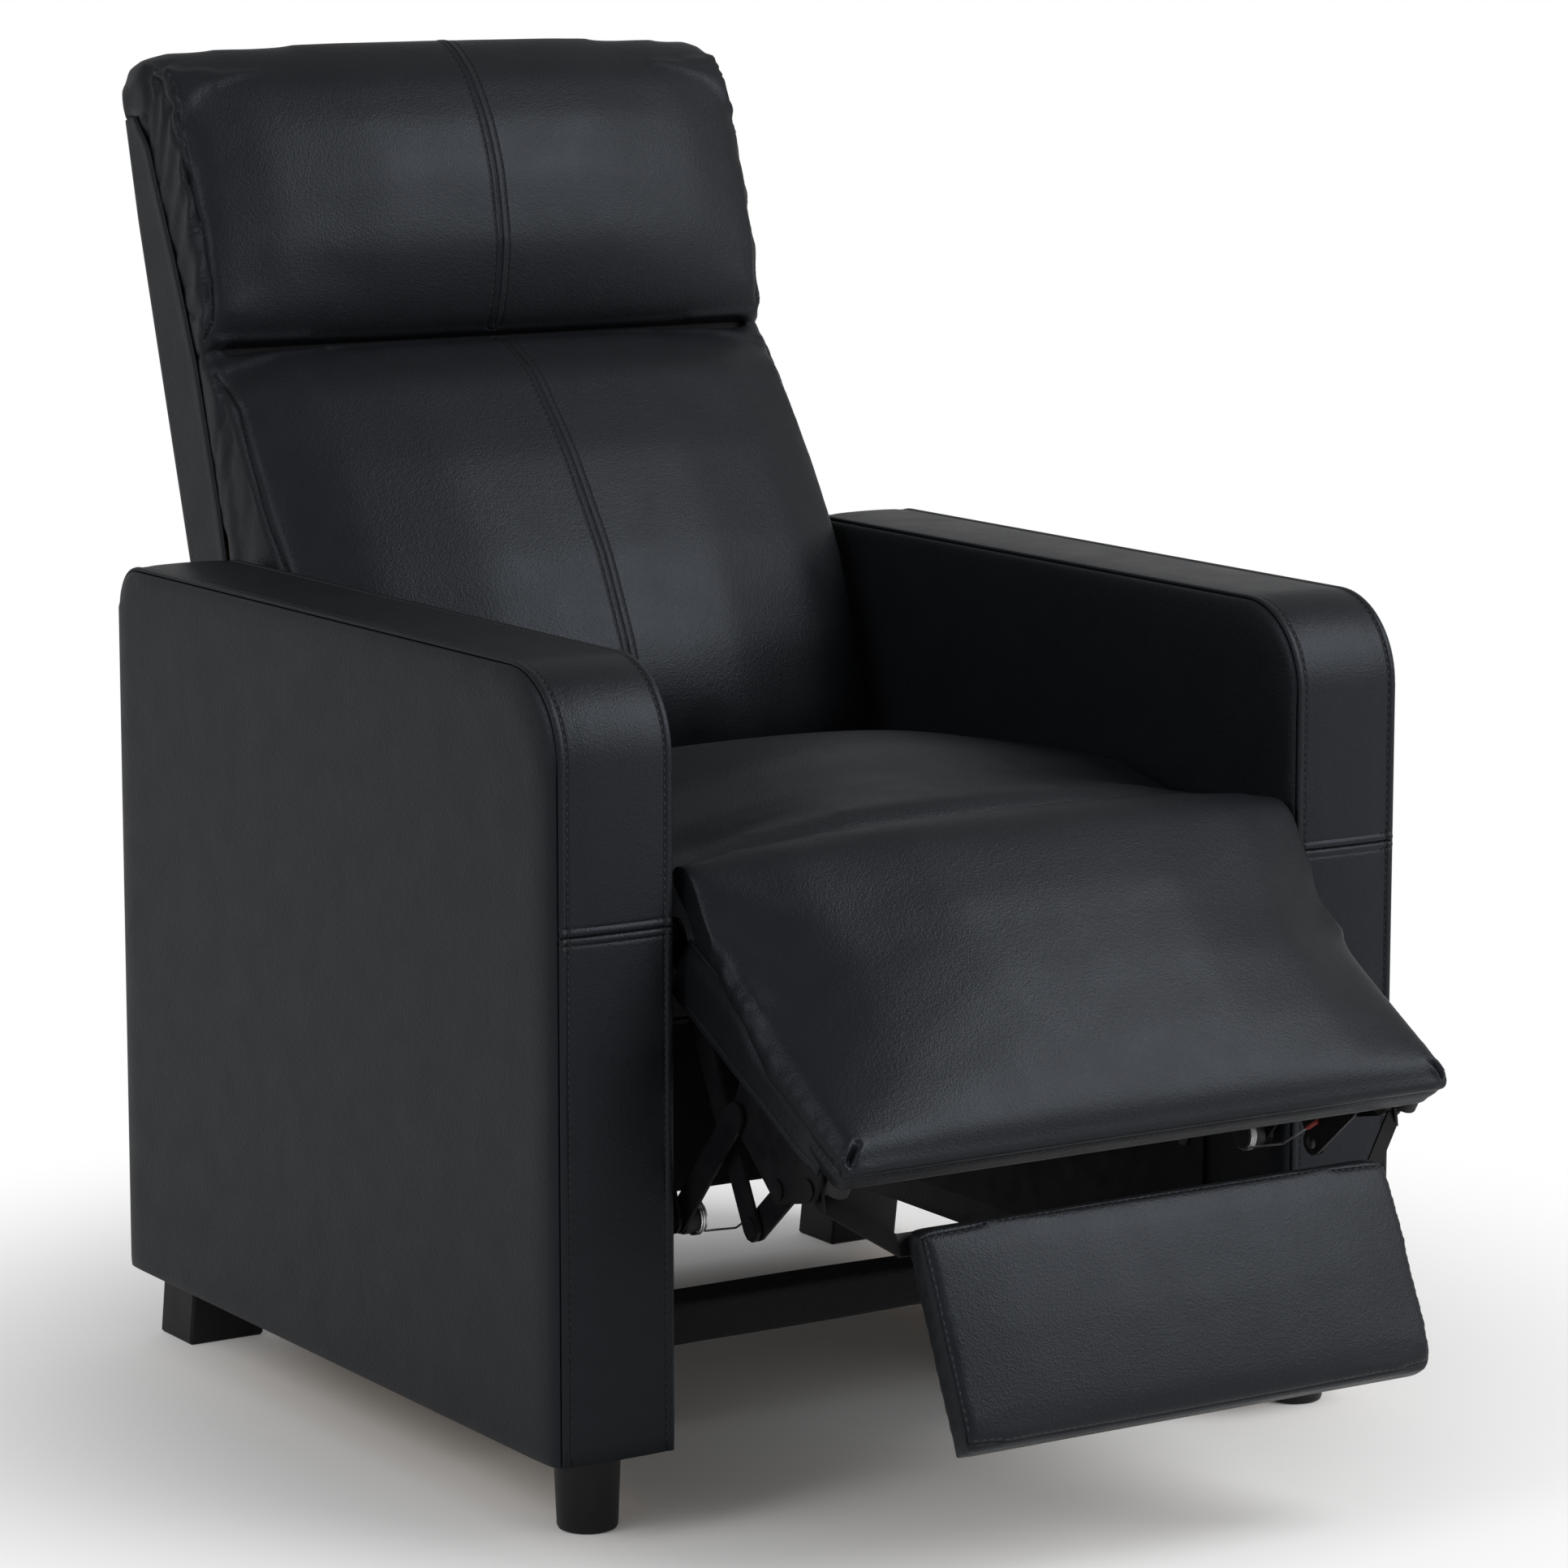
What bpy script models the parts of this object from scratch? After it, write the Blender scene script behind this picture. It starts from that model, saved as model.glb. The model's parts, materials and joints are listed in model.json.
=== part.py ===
# Pushback recliner with an open leg rest
# Metres. X runs across the chair, Y runs to its rear, Z runs up from the floor.
# Side views are written as (y, z) points measured from the front plane of the arms.
import bpy
import bmesh
import math
from mathutils import Matrix, Vector

for leftover in list(bpy.data.objects):
    bpy.data.objects.remove(leftover, do_unlink=True)

# Fits shared by every piece
seat_fit = 0.0003
pivot_fit = 0.0003
weld_share = 0.1
round_steps = 12
arc_steps = 5

# Arms
arm_gap_half = 0.262
arm_width = 0.098
arm_depth = 0.673
arm_underside = 0.061
arm_top = 0.613
arm_front_radius = 0.065
arm_rear_radius = 0.030
cover_wall = 0.008
panel_round = 0.004
post_width = 0.058
top_board = 0.030
bottom_board = 0.034

# Legs
front_leg_inset = 0.047
front_leg_y = 0.049
front_leg_top_radius = 0.024
front_leg_foot_radius = 0.0215
leg_edge = 0.002
leg_sides = 28
rear_leg_inset = 0.004
rear_leg_width = 0.064
rear_leg_depth = 0.053
rear_leg_setback = 0.056
rear_leg_rake = 0.010

# Rails and apron between the arms
front_rail_y = 0.045
front_rail_depth = 0.040
front_rail_z = 0.120
front_rail_height = 0.031
rail_round = 0.004
apron_setback = 0.033
apron_wall = 0.014
apron_height = 0.153

# Steel linkage: flat bars stacked in layers inwards from each arm
bar_wall = 0.0025
bar_gap = 0.0020
bar_half = 0.008
boss_half = 0.010
rivet_radius = 0.004
rivet_head_radius = 0.0075
rivet_head = 0.0013

# Base plates and swing links
base_plate_y = 0.100
base_plate_length = 0.500
base_plate_z = 0.086
base_plate_height = 0.132
base_plate_round = 0.012
front_link_foot = (0.215, 0.195)
rear_link_foot = (0.430, 0.195)
swing_link_length = 0.120
swing_link_lean = math.radians(10)

# Seat frame
seat_flange_z = 0.342
seat_deck_z = 0.384
linkage_gap = 0.0032
seat_flange_width = 0.028
seat_rail_front_y = 0.083
seat_rail_rear_y = 0.556
seat_rail_depth = 0.024
spring_wire_radius = 0.0018
spring_count = 5
spring_swing = 0.022
spring_pitch = 0.060
tie_count = 2
dust_wall = 0.0015

# Seat cushion
cushion_side_gap = 0.0060
seat_cushion_over = 0.437
cushion_linkage_gap = 0.0027
seat_cushion_front_y = 0.0305
seat_cushion_rear_y = 0.478
seat_top_z = 0.467
seat_roll_rise = 0.021
seat_side_drop = 0.011

# Back
back_hinge = (0.600, 0.300)
back_lean = math.radians(14.5)
back_side_gap = 0.0045
back_rear = 0.0755
back_panel_wall = 0.009
back_side_wall = 0.0085
back_front = 0.0077
webbing_wall = 0.0016
stile_width = 0.045
stile_foot = -0.020
stile_top = 0.690
back_rail_height = 0.050
back_panel_foot = -0.062
back_side_foot = 0.075
back_panel_top = 0.6755
back_bracket_reach = 0.190
back_bracket_depth = 0.034

# Lumbar cushion and head pillow, measured along the back
lumbar_foot = 0.100
lumbar_height = 0.382
lumbar_depth = 0.155
pillow_gap = 0.0025
pillow_height = 0.249
pillow_depth = 0.053
pillow_rear = 0.0763

# Leg pad, measured along and square to its board from the fold at the seat
fold = (-0.005, 0.455)
pad_slope = math.radians(27)
pad_wing_wall = 0.013
pad_board_start = 0.036
pad_board_end = 0.230
pad_board_notch = 0.090
pad_board_inset = 0.0095
pad_board_wall = 0.012
pad_seat = -0.0665
pad_front = 0.2445
pad_crown = 0.0325
pad_side_drop = -0.038
pad_side_gap = 0.0065
cross_tube_radius = 0.008
cross_tube_wall = 0.0015

# Linkage pivots in the side view at rest
crank_pivot = (0.037, 0.419)
pad_pivot = (-0.104, 0.265)
rear_crank_pivot = (0.070, 0.367)
rear_pad_pivot = (-0.055, 0.307)
lower_pad_pivot = (-0.142, 0.273)

# Lower pad, measured down and square to its board
lower_pad_top = (-0.190, 0.252)
lower_pad_slope = math.radians(66)
lower_pad_length = 0.160
lower_pad_half = 0.198
lower_pad_face = 0.018
lower_pad_side_face = 0.011
lower_pad_seat = -0.0040
lower_board_wall = 0.012
lower_board_inset = 0.007
strap_reach = 0.150
strap_start = 0.002
strap_width = 0.016
lug_drop = (-0.007, -0.008)

arm_inner = arm_gap_half
arm_outer = arm_gap_half + arm_width
hole = rivet_radius + pivot_fit
seat_cushion_under = seat_deck_z + 2 * seat_fit + 2 * spring_wire_radius


def layer(number):
    """Inner and outer X of one bar layer, counted inwards from the arm."""
    outer = arm_inner - seat_fit - number * (bar_wall + bar_gap)
    return outer - bar_wall, outer


# Half widths and places that follow from the arms and from the innermost bar layer
last_layer = 5
linkage_inner = layer(last_layer)[0]
seat_rail_half = linkage_inner - linkage_gap
pad_board_notch_half = seat_rail_half
seat_cushion_inner_half = linkage_inner - cushion_linkage_gap
pad_rear_half = seat_cushion_inner_half
cushion_half = arm_inner - cushion_side_gap
back_half = arm_inner - back_side_gap
pad_half = arm_inner - pad_side_gap
pad_board_half = pad_half - pad_board_inset
pillow_foot = lumbar_foot + lumbar_height + pillow_gap
front_leg_x = arm_inner + front_leg_inset
rear_leg_inner_x = arm_inner + rear_leg_inset
rear_leg_top_y = arm_depth - rear_leg_setback
apron_y = arm_depth - apron_setback


def material(name, colour, roughness, metallic=0.0):
    made = bpy.data.materials.new(name)
    made.use_nodes = True
    shader = made.node_tree.nodes["Principled BSDF"]
    shader.inputs["Base Color"].default_value = (*colour, 1.0)
    shader.inputs["Roughness"].default_value = roughness
    shader.inputs["Metallic"].default_value = metallic
    return made


leather_colour = (0.022, 0.024, 0.027)
fabric_colour = (0.012, 0.012, 0.013)
steel_colour = (0.020, 0.020, 0.022)
wood_colour = (0.480, 0.330, 0.190)
plastic_colour = (0.015, 0.015, 0.016)
wire_colour = (0.550, 0.550, 0.560)


def add(name, bm, body, colour, roughness, metallic=0.0, local=False):
    """Turn a bmesh into one named piece that hangs on its body's pivot."""
    pivot, matrix = bodies[body]
    if not local:
        bm.transform(matrix.inverted())
    bmesh.ops.remove_doubles(bm, verts=bm.verts, dist=weld_share * seat_fit)
    bmesh.ops.recalc_face_normals(bm, faces=bm.faces)
    mesh = bpy.data.meshes.new(name)
    bm.to_mesh(mesh)
    bm.free()
    piece = bpy.data.objects.new(name, mesh)
    piece.data.materials.append(material(name + "_finish", colour, roughness, metallic))
    piece.parent = pivot
    bpy.context.collection.objects.link(piece)
    mesh.shade_smooth()
    mesh.set_sharp_from_angle(angle=math.radians(35))
    return piece


def bevel(piece, width, segments=2):
    round_edge = piece.modifiers.new("round", "BEVEL")
    round_edge.width = width
    round_edge.segments = segments
    round_edge.limit_method = "ANGLE"
    round_edge.angle_limit = math.radians(50)
    return piece


def block(bm, low, high):
    """A rectangular block between two corners."""
    low, high = Vector(low), Vector(high)
    size = high - low
    place = Matrix.Translation((low + high) / 2) @ Matrix.Diagonal((*size, 1))
    bmesh.ops.create_cube(bm, size=1, matrix=place)


def prism(bm, outline, x_low, x_high, holes=()):
    """A flat plate cut to a side-view outline, with round holes (y, z, radius)."""
    loops = [[(y, z) for y, z in outline]]
    for y, z, radius in holes:
        turn = 2 * math.pi / round_steps
        angles = [step * turn for step in range(round_steps)]
        loops.append([(y + radius * math.cos(a), z + radius * math.sin(a)) for a in angles])
    edges = []
    for points in loops:
        verts = [bm.verts.new((x_low, y, z)) for y, z in points]
        edges += [bm.edges.new((verts[i - 1], verts[i])) for i in range(len(verts))]
    filled = bmesh.ops.triangle_fill(bm, edges=edges, use_beauty=True)
    faces = [item for item in filled["geom"] if isinstance(item, bmesh.types.BMFace)]
    walled = bmesh.ops.extrude_face_region(bm, geom=faces, use_keep_orig=True)
    moved = [item for item in walled["geom"] if isinstance(item, bmesh.types.BMVert)]
    bmesh.ops.translate(bm, verts=moved, vec=(x_high - x_low, 0, 0))


def arc(centre, radius, start, end, steps=arc_steps):
    """Points of an arc in the side view, angles in degrees."""
    points = []
    for step in range(steps + 1):
        angle = math.radians(start + (end - start) * step / steps)
        points.append((centre[0] + radius * math.cos(angle), centre[1] + radius * math.sin(angle)))
    return points


def bar_outline(first, second, half):
    """A flat bar with round ends between two pivots."""
    heading = math.degrees(math.atan2(second[1] - first[1], second[0] - first[0]))
    return arc(second, half, heading - 90, heading + 90) + arc(first, half, heading + 90, heading + 270)


def lathe(bm, profile, centre, steps=round_steps):
    """Turn (x, radius) points about an axis that runs along X."""
    verts = [bm.verts.new((x, centre[0] + radius, centre[1])) for x, radius in profile]
    edges = [bm.edges.new((verts[i], verts[i + 1])) for i in range(len(verts) - 1)]
    bmesh.ops.spin(bm, geom=verts + edges, cent=(0, *centre), axis=(1, 0, 0),
                   angle=2 * math.pi, steps=steps, use_merge=True)
    bmesh.ops.remove_doubles(bm, verts=bm.verts, dist=weld_share * seat_fit)


def rivet(bm, side, centre, own, other, button=True, head=True):
    """A rivet that is fast in its own bar layer and turns in the other's hole."""
    inward = 1 if other > own else -1
    own_low, own_high = layer(own)
    other_low, other_high = layer(other)
    near, far = (own_low, own_high) if inward > 0 else (own_high, own_low)
    reach, end = (other_high, other_low) if inward > 0 else (other_low, other_high)
    start = far + inward * (-rivet_head if button else bar_wall / 2)
    wide, shaft = rivet_head_radius, rivet_radius
    collar = reach + inward * pivot_fit
    tip = end - inward * (pivot_fit if head else 0)
    profile = [(start, 0), (start, wide), (collar, wide), (collar, shaft), (tip, shaft)]
    if head:
        profile += [(tip, wide), (tip - inward * rivet_head, wide), (tip - inward * rivet_head, 0)]
    else:
        profile += [(tip, 0)]
    lathe(bm, [(side * x, radius) for x, radius in profile], centre)


def unite(piece, name, bm, body_name, local=False):
    """Join more solids to a piece with a Boolean union."""
    extra = add(name, bm, body_name, steel_colour, 0.5, 0.8, local)
    extra.hide_render = True
    extra.display_type = "WIRE"
    union = piece.modifiers.new("union", "BOOLEAN")
    union.operation = "UNION"
    union.solver = "EXACT"
    union.object = extra


def link(name, body_name, number, first, second, rivets, free=()):
    """A pair of flat links, left and right, each with its own rivets and free holes."""
    for side, label in ((-1, "left"), (1, "right")):
        inner, outer = layer(number)
        bm = bmesh.new()
        prism(bm, bar_outline(first, second, boss_half), side * inner, side * outer,
              [(*point, hole) for point in free])
        piece = add(f"{label}_{name}", bm, body_name, steel_colour, 0.5, 0.8)
        bm = bmesh.new()
        for centre, other, head in rivets:
            rivet(bm, side, centre, number, other, head=head)
        unite(piece, f"{label}_{name}_rivets", bm, body_name)


def loft(bm, rings):
    """Skin a row of closed rings and close both ends."""
    loops = []
    for ring in rings:
        verts = [bm.verts.new(point) for point in ring]
        loops.append([bm.edges.new((verts[i - 1], verts[i])) for i in range(len(verts))])
    for near, far in zip(loops, loops[1:]):
        bmesh.ops.bridge_loops(bm, edges=near + far)
    for end in (loops[0], loops[-1]):
        bmesh.ops.edgenet_fill(bm, edges=end)


# Pivot places that follow from the sizes above
def swing_top(foot):
    reach = swing_link_length
    return foot[0] + reach * math.sin(swing_link_lean), foot[1] + reach * math.cos(swing_link_lean)


def offset(point, start, end):
    return point[0] + end[0] - start[0], point[1] + end[1] - start[1]


front_link_head = swing_top(front_link_foot)
rear_link_head = swing_top(rear_link_foot)
crank_foot = offset(pad_pivot, fold, crank_pivot)
rear_crank_foot = offset(rear_pad_pivot, fold, rear_crank_pivot)

# One empty on each joint's axis carries the pieces of that body
bodies = {}


def body(name, point, tilt=0.0):
    pivot = bpy.data.objects.new(name + "_pivot", None)
    pivot.location = (0, *point)
    pivot.rotation_euler = (tilt, 0, 0)
    bpy.context.collection.objects.link(pivot)
    bodies[name] = (pivot, Matrix.Translation((0, *point)) @ Matrix.Rotation(tilt, 4, "X"))


body("base", (0, 0))
body("rear_links", rear_link_foot)
body("front_links", front_link_foot)
body("seat", rear_link_head)
body("back", back_hinge, -back_lean)
body("footrest", fold, pad_slope)
body("lower_pad", lower_pad_pivot)
body("cranks", crank_pivot)
body("couplers", crank_foot)
body("rear_cranks", rear_crank_pivot)
body("rear_couplers", rear_crank_foot)

# Arms: a wooden frame inside two padded panels and one wrapped band
inside_low = arm_inner + cover_wall + seat_fit
inside_high = arm_outer - cover_wall - seat_fit
frame_front = cover_wall + seat_fit
frame_rear = arm_depth - cover_wall - seat_fit
frame_top = arm_top - cover_wall - seat_fit
frame_low = arm_underside + seat_fit
front_centre = (arm_front_radius, arm_top - arm_front_radius)
rear_centre = (arm_depth - arm_rear_radius, arm_top - arm_rear_radius)


def arm_outline(inset):
    """The arm seen from the side, drawn in by an inset."""
    front = arc(front_centre, arm_front_radius - inset, 180, 90)
    rear = arc(rear_centre, arm_rear_radius - inset, 90, 0)
    return front, rear


def band_outline():
    front, rear = arm_outline(0)
    inner_front, inner_rear = arm_outline(cover_wall)
    outer = [(0, arm_underside)] + front + rear + [(arm_depth, arm_underside)]
    inner = [(arm_depth - cover_wall, arm_underside)] + inner_rear[::-1] + inner_front[::-1]
    return outer + inner + [(cover_wall, arm_underside)]


def panel_outline():
    front, rear = arm_outline(cover_wall + seat_fit)
    return [(frame_front, arm_underside)] + front + rear + [(frame_rear, arm_underside)]


for side, label in ((-1, "left"), (1, "right")):
    rail_foot = frame_low + bottom_board + seat_fit
    front_face, rear_face = frame_front + post_width, frame_rear - post_width
    front_arc, rear_arc = arm_outline(cover_wall + seat_fit)
    frame_pieces = {
        "front_post": [(frame_front, rail_foot)] + front_arc + [(front_face, frame_top),
                                                                (front_face, rail_foot)],
        "rear_post": [(rear_face, rail_foot), (rear_face, frame_top)] + rear_arc
                     + [(frame_rear, rail_foot)],
        "top_rail": [(front_face + seat_fit, frame_top - top_board), (front_face + seat_fit, frame_top),
                     (rear_face - seat_fit, frame_top), (rear_face - seat_fit, frame_top - top_board)],
        "bottom_rail": [(frame_front, frame_low), (frame_front, frame_low + bottom_board),
                        (frame_rear, frame_low + bottom_board), (frame_rear, frame_low)],
    }
    for part, outline in frame_pieces.items():
        bm = bmesh.new()
        prism(bm, outline, side * inside_low, side * inside_high)
        add(f"{label}_arm_{part}", bm, "base", wood_colour, 0.8)

    bm = bmesh.new()
    prism(bm, band_outline(), side * arm_inner, side * arm_outer)
    bevel(add(f"{label}_arm_band", bm, "base", leather_colour, 0.4), panel_round / 2, 1)

    for part, low, high in (("inner_panel", arm_inner, arm_inner + cover_wall),
                            ("outer_panel", arm_outer - cover_wall, arm_outer)):
        bm = bmesh.new()
        prism(bm, panel_outline(), side * low, side * high)
        add(f"{label}_arm_{part}", bm, "base", leather_colour, 0.4)

# Legs: turned taper at the front, raked block at the rear
for side, label in ((-1, "left"), (1, "right")):
    bm = bmesh.new()
    foot, top = front_leg_foot_radius, front_leg_top_radius
    bmesh.ops.create_cone(bm, cap_ends=True, segments=leg_sides, radius1=foot, radius2=top,
                          depth=arm_underside)
    place = Vector((side * front_leg_x, front_leg_y, arm_underside / 2))
    bmesh.ops.translate(bm, verts=bm.verts, vec=place)
    rim = [edge for edge in bm.edges if all(vert.co.z < leg_edge for vert in edge.verts)]
    bmesh.ops.bevel(bm, geom=rim, offset=leg_edge, segments=2, profile=0.5,
                    affect="EDGES", material=-1)
    add(f"{label}_front_leg", bm, "base", plastic_colour, 0.5)

    bm = bmesh.new()
    block(bm, (side * rear_leg_inner_x, rear_leg_top_y, 0),
          (side * (rear_leg_inner_x + rear_leg_width), rear_leg_top_y + rear_leg_depth,
           arm_underside))
    for vert in bm.verts:
        vert.co.y += rear_leg_rake * (1 - vert.co.z / arm_underside)
    bevel(add(f"{label}_rear_leg", bm, "base", plastic_colour, 0.5), leg_edge, 1)

# Fabric-covered rail and apron that tie the arms together
span = arm_inner - seat_fit
bm = bmesh.new()
block(bm, (-span, front_rail_y, front_rail_z),
      (span, front_rail_y + front_rail_depth, front_rail_z + front_rail_height))
bevel(add("front_rail", bm, "base", fabric_colour, 0.9), rail_round)

bm = bmesh.new()
block(bm, (-span, apron_y, arm_underside), (span, apron_y + apron_wall, arm_underside + apron_height))
bevel(add("rear_apron", bm, "base", fabric_colour, 0.9), rail_round)

# Base plates with the fixed pivots of the swing links
for side, label in ((-1, "left"), (1, "right")):
    low = (base_plate_y, base_plate_z)
    high = (base_plate_y + base_plate_length, base_plate_z + base_plate_height)
    turn = base_plate_round
    outline = (arc((high[0] - turn, high[1] - turn), turn, 0, 90)
               + arc((low[0] + turn, high[1] - turn), turn, 90, 180)
               + arc((low[0] + turn, low[1] + turn), turn, 180, 270)
               + arc((high[0] - turn, low[1] + turn), turn, 270, 360))
    inner, outer = layer(0)
    bm = bmesh.new()
    prism(bm, outline, side * inner, side * outer,
          [(*front_link_foot, hole), (*rear_link_foot, hole)])
    add(f"{label}_base_plate", bm, "base", steel_colour, 0.5, 0.8)

# Swing links carry the seat on the base plates
for name, foot, head in (("rear", rear_link_foot, rear_link_head),
                         ("front", front_link_foot, front_link_head)):
    link(f"{name}_swing_link", f"{name}_links", 1, foot, head, [(foot, 0, False), (head, 2, True)])

# Seat plates: a web in the second layer with a flange turned inwards under the seat rail
web_inner, web_outer = layer(2)
seat_web = (arc(crank_pivot, boss_half + bar_gap, 60, 210)
            + arc(rear_crank_pivot, boss_half + bar_gap, 210, 270)
            + [(front_link_head[0] - 5 * boss_half, rear_crank_pivot[1] - boss_half - bar_gap)]
            + arc(front_link_head, boss_half + 2 * bar_gap, 200, 270)
            + arc(rear_link_head, boss_half + 2 * bar_gap, 270, 280)
            + arc(back_hinge, boss_half + 3 * bar_gap, 260, 420)
            + [(seat_rail_rear_y, seat_deck_z - boss_half), (seat_rail_rear_y - boss_half, seat_deck_z),
               (rear_crank_pivot[0] + boss_half, seat_deck_z)])
seat_holes = [(*point, hole) for point in
              (crank_pivot, rear_crank_pivot, front_link_head, rear_link_head, back_hinge)]
for side, label in ((-1, "left"), (1, "right")):
    bm = bmesh.new()
    prism(bm, seat_web, side * web_inner, side * web_outer, seat_holes)
    plate = add(f"{label}_seat_plate", bm, "seat", steel_colour, 0.5, 0.8)
    bm = bmesh.new()
    block(bm, (side * (seat_rail_half - seat_flange_width), seat_rail_front_y - seat_fit, seat_flange_z),
          (side * (web_inner + bar_wall / 2), seat_rail_rear_y - seat_fit, seat_flange_z + bar_wall))
    unite(plate, f"{label}_seat_flange", bm, "seat")

# Wooden cross rails on the flanges
rail_z = seat_flange_z + bar_wall + seat_fit
rail_rear_front = seat_rail_rear_y - seat_rail_depth
cross_rails = (("front", seat_rail_front_y, fabric_colour, 0.9), ("rear", rail_rear_front, wood_colour, 0.8))
for name, y, colour, rough in cross_rails:
    bm = bmesh.new()
    block(bm, (-seat_rail_half, y, rail_z), (seat_rail_half, y + seat_rail_depth, seat_deck_z))
    add(f"seat_{name}_rail", bm, "seat", colour, rough)


def wire(bm, points, radius, sides=6):
    """A wire through a row of points in one level plane."""
    rings = []
    for index, point in enumerate(points):
        ahead = Vector(points[min(index + 1, len(points) - 1)])
        behind = Vector(points[max(index - 1, 0)])
        heading = (ahead - behind).normalized()
        across = heading.cross(Vector((0, 0, 1)))
        turn = 2 * math.pi / sides
        angles = [step * turn for step in range(sides)]
        rings.append([Vector(point) + radius * (across * math.cos(a) + Vector((0, 0, math.sin(a))))
                      for a in angles])
    loft(bm, rings)


# Spring deck: sinuous wires from rail to rail, held together by tie wires across them
spring_start = seat_rail_front_y + seat_rail_depth / 2
spring_end = seat_rail_rear_y - seat_rail_depth / 2
spring_z = seat_deck_z + seat_fit + spring_wire_radius
waves = round((spring_end - spring_start) / spring_pitch)
spring_spacing = 2 * seat_rail_half / spring_count
bm = bmesh.new()
for number in range(spring_count):
    centre_x = -seat_rail_half + (number + 0.5) * spring_spacing
    points = []
    for index in range(4 * waves + 1):
        share = index / (4 * waves)
        swing = spring_swing / 2 * math.sin(share * waves * 2 * math.pi)
        points.append((centre_x + swing, spring_start + share * (spring_end - spring_start), spring_z))
    wire(bm, points, spring_wire_radius)
deck = add("seat_springs", bm, "seat", wire_colour, 0.4, 1.0)
bm = bmesh.new()
for number in range(tie_count):
    tie_y = spring_start + (number + 1) / (tie_count + 1) * (spring_end - spring_start)
    tie_y += spring_pitch / 16
    points = [(x, tie_y, spring_z) for x in (-seat_rail_half + spring_swing, 0,
                                             seat_rail_half - spring_swing)]
    wire(bm, points, spring_wire_radius * 0.8)
unite(deck, "spring_ties", bm, "seat")

# Woven dust cover under the seat frame
bm = bmesh.new()
dust_half = seat_rail_half - seat_flange_width - seat_fit
dust_top = rail_z - seat_fit
block(bm, (-dust_half, seat_rail_front_y, dust_top - dust_wall),
      (dust_half, seat_rail_rear_y, dust_top))
add("seat_dust_cover", bm, "seat", fabric_colour, 0.9)

# Seat cushion: rings across the chair, with a front roll and flaps over the seat plates
seat_length = seat_cushion_rear_y - seat_cushion_front_y
cross_shares = (-0.92, -0.7, -0.35, 0, 0.35, 0.7, 0.92)


def cushion_ring(y, under, over, half, side_top, crown):
    """One ring of the seat cushion: crowned top, stepped underside."""
    inner = seat_cushion_inner_half
    ring = [(-inner, y, under), (-inner, y, over), (-half, y, over), (-half, y, side_top)]
    for share in cross_shares:
        ring.append((share * half, y, side_top + (crown - side_top) * (1 - abs(share) ** 3)))
    ring += [(half, y, side_top), (half, y, over), (inner, y, over), (inner, y, under)]
    return ring


# Each row: share of the length, of the roll's rise, of the side drop, of the underside's rise
nose_rise = seat_top_z - seat_fit - seat_cushion_under
seat_shares = ((0, 0.05, 2.2, 0.93), (0.020, 0.62, 2.3, 0.80), (0.055, 1, 2.1, 0.56),
               (0.095, 0.85, 1.7, 0.26), (0.115, 0.72, 1.55, 0), (0.22, 0.12, 1.0, 0),
               (0.45, 0, 0.35, 0), (0.75, 0, 0.3, 0), (0.95, -0.25, 0.5, 0), (1, -0.9, 0.8, 0))
rings = []
for along, rise, drop, lift in seat_shares:
    under = seat_cushion_under + lift * nose_rise
    over = max(seat_cushion_over, under + dust_wall)
    crown = seat_top_z + rise * seat_roll_rise
    side_top = max(crown - drop * seat_side_drop, over + dust_wall)
    rings.append(cushion_ring(seat_cushion_front_y + along * seat_length, under, over,
                              cushion_half, side_top, crown))
bm = bmesh.new()
loft(bm, rings)
add("seat_cushion", bm, "seat", leather_colour, 0.4)

# Back frame, built upright along the back: y is depth, z is height along the back
frame_face = back_front + seat_fit + webbing_wall + seat_fit
frame_back = back_rear - back_panel_wall - seat_fit
stile_outer = layer(3)[0] - seat_fit
stile_inner = stile_outer - stile_width
for side, label in ((-1, "left"), (1, "right")):
    bm = bmesh.new()
    block(bm, (side * stile_inner, frame_face, stile_foot), (side * stile_outer, frame_back, stile_top))
    add(f"{label}_back_stile", bm, "back", wood_colour, 0.8, local=True)

    inner, outer = layer(3)
    strap = [(frame_face + back_bracket_depth, 0), (frame_face + back_bracket_depth, back_bracket_reach),
             (frame_face + bar_half, back_bracket_reach), (frame_face + bar_half, 2 * boss_half)]
    outline = arc((0, 0), boss_half + 2 * bar_gap, 150, 330) + strap
    bolts = [(frame_face + (bar_half + back_bracket_depth) / 2, share * back_bracket_reach, hole)
             for share in (0.45, 0.85)]
    bm = bmesh.new()
    prism(bm, outline, side * inner, side * outer, bolts)
    bracket = add(f"{label}_back_bracket", bm, "back", steel_colour, 0.5, 0.8, local=True)
    bm = bmesh.new()
    rivet(bm, side, (0, 0), 3, 2, button=False)
    unite(bracket, f"{label}_back_rivet", bm, "back", local=True)

for name, foot in (("top", stile_top - back_rail_height), ("bottom", stile_foot)):
    bm = bmesh.new()
    half = stile_inner - seat_fit
    block(bm, (-half, frame_face, foot), (half, frame_back, foot + back_rail_height))
    add(f"back_{name}_rail", bm, "back", wood_colour, 0.8, local=True)

bm = bmesh.new()
block(bm, (-stile_outer, back_front + seat_fit, stile_foot + back_rail_height),
      (stile_outer, frame_face - seat_fit, stile_top - back_rail_height))
add("back_webbing", bm, "back", fabric_colour, 0.9, local=True)

# Upholstered back cover: a rear panel with a side wall at each edge
bm = bmesh.new()
block(bm, (-back_half, back_rear - back_panel_wall, back_panel_foot), (back_half, back_rear, back_panel_top))
cover = add("back_cover", bm, "back", leather_colour, 0.4, local=True)
bm = bmesh.new()
for side in (-1, 1):
    block(bm, (side * (back_half - back_side_wall), frame_face, back_side_foot),
          (side * back_half, back_rear - back_panel_wall / 2, back_panel_top))
unite(cover, "back_cover_sides", bm, "back", local=True)

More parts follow.
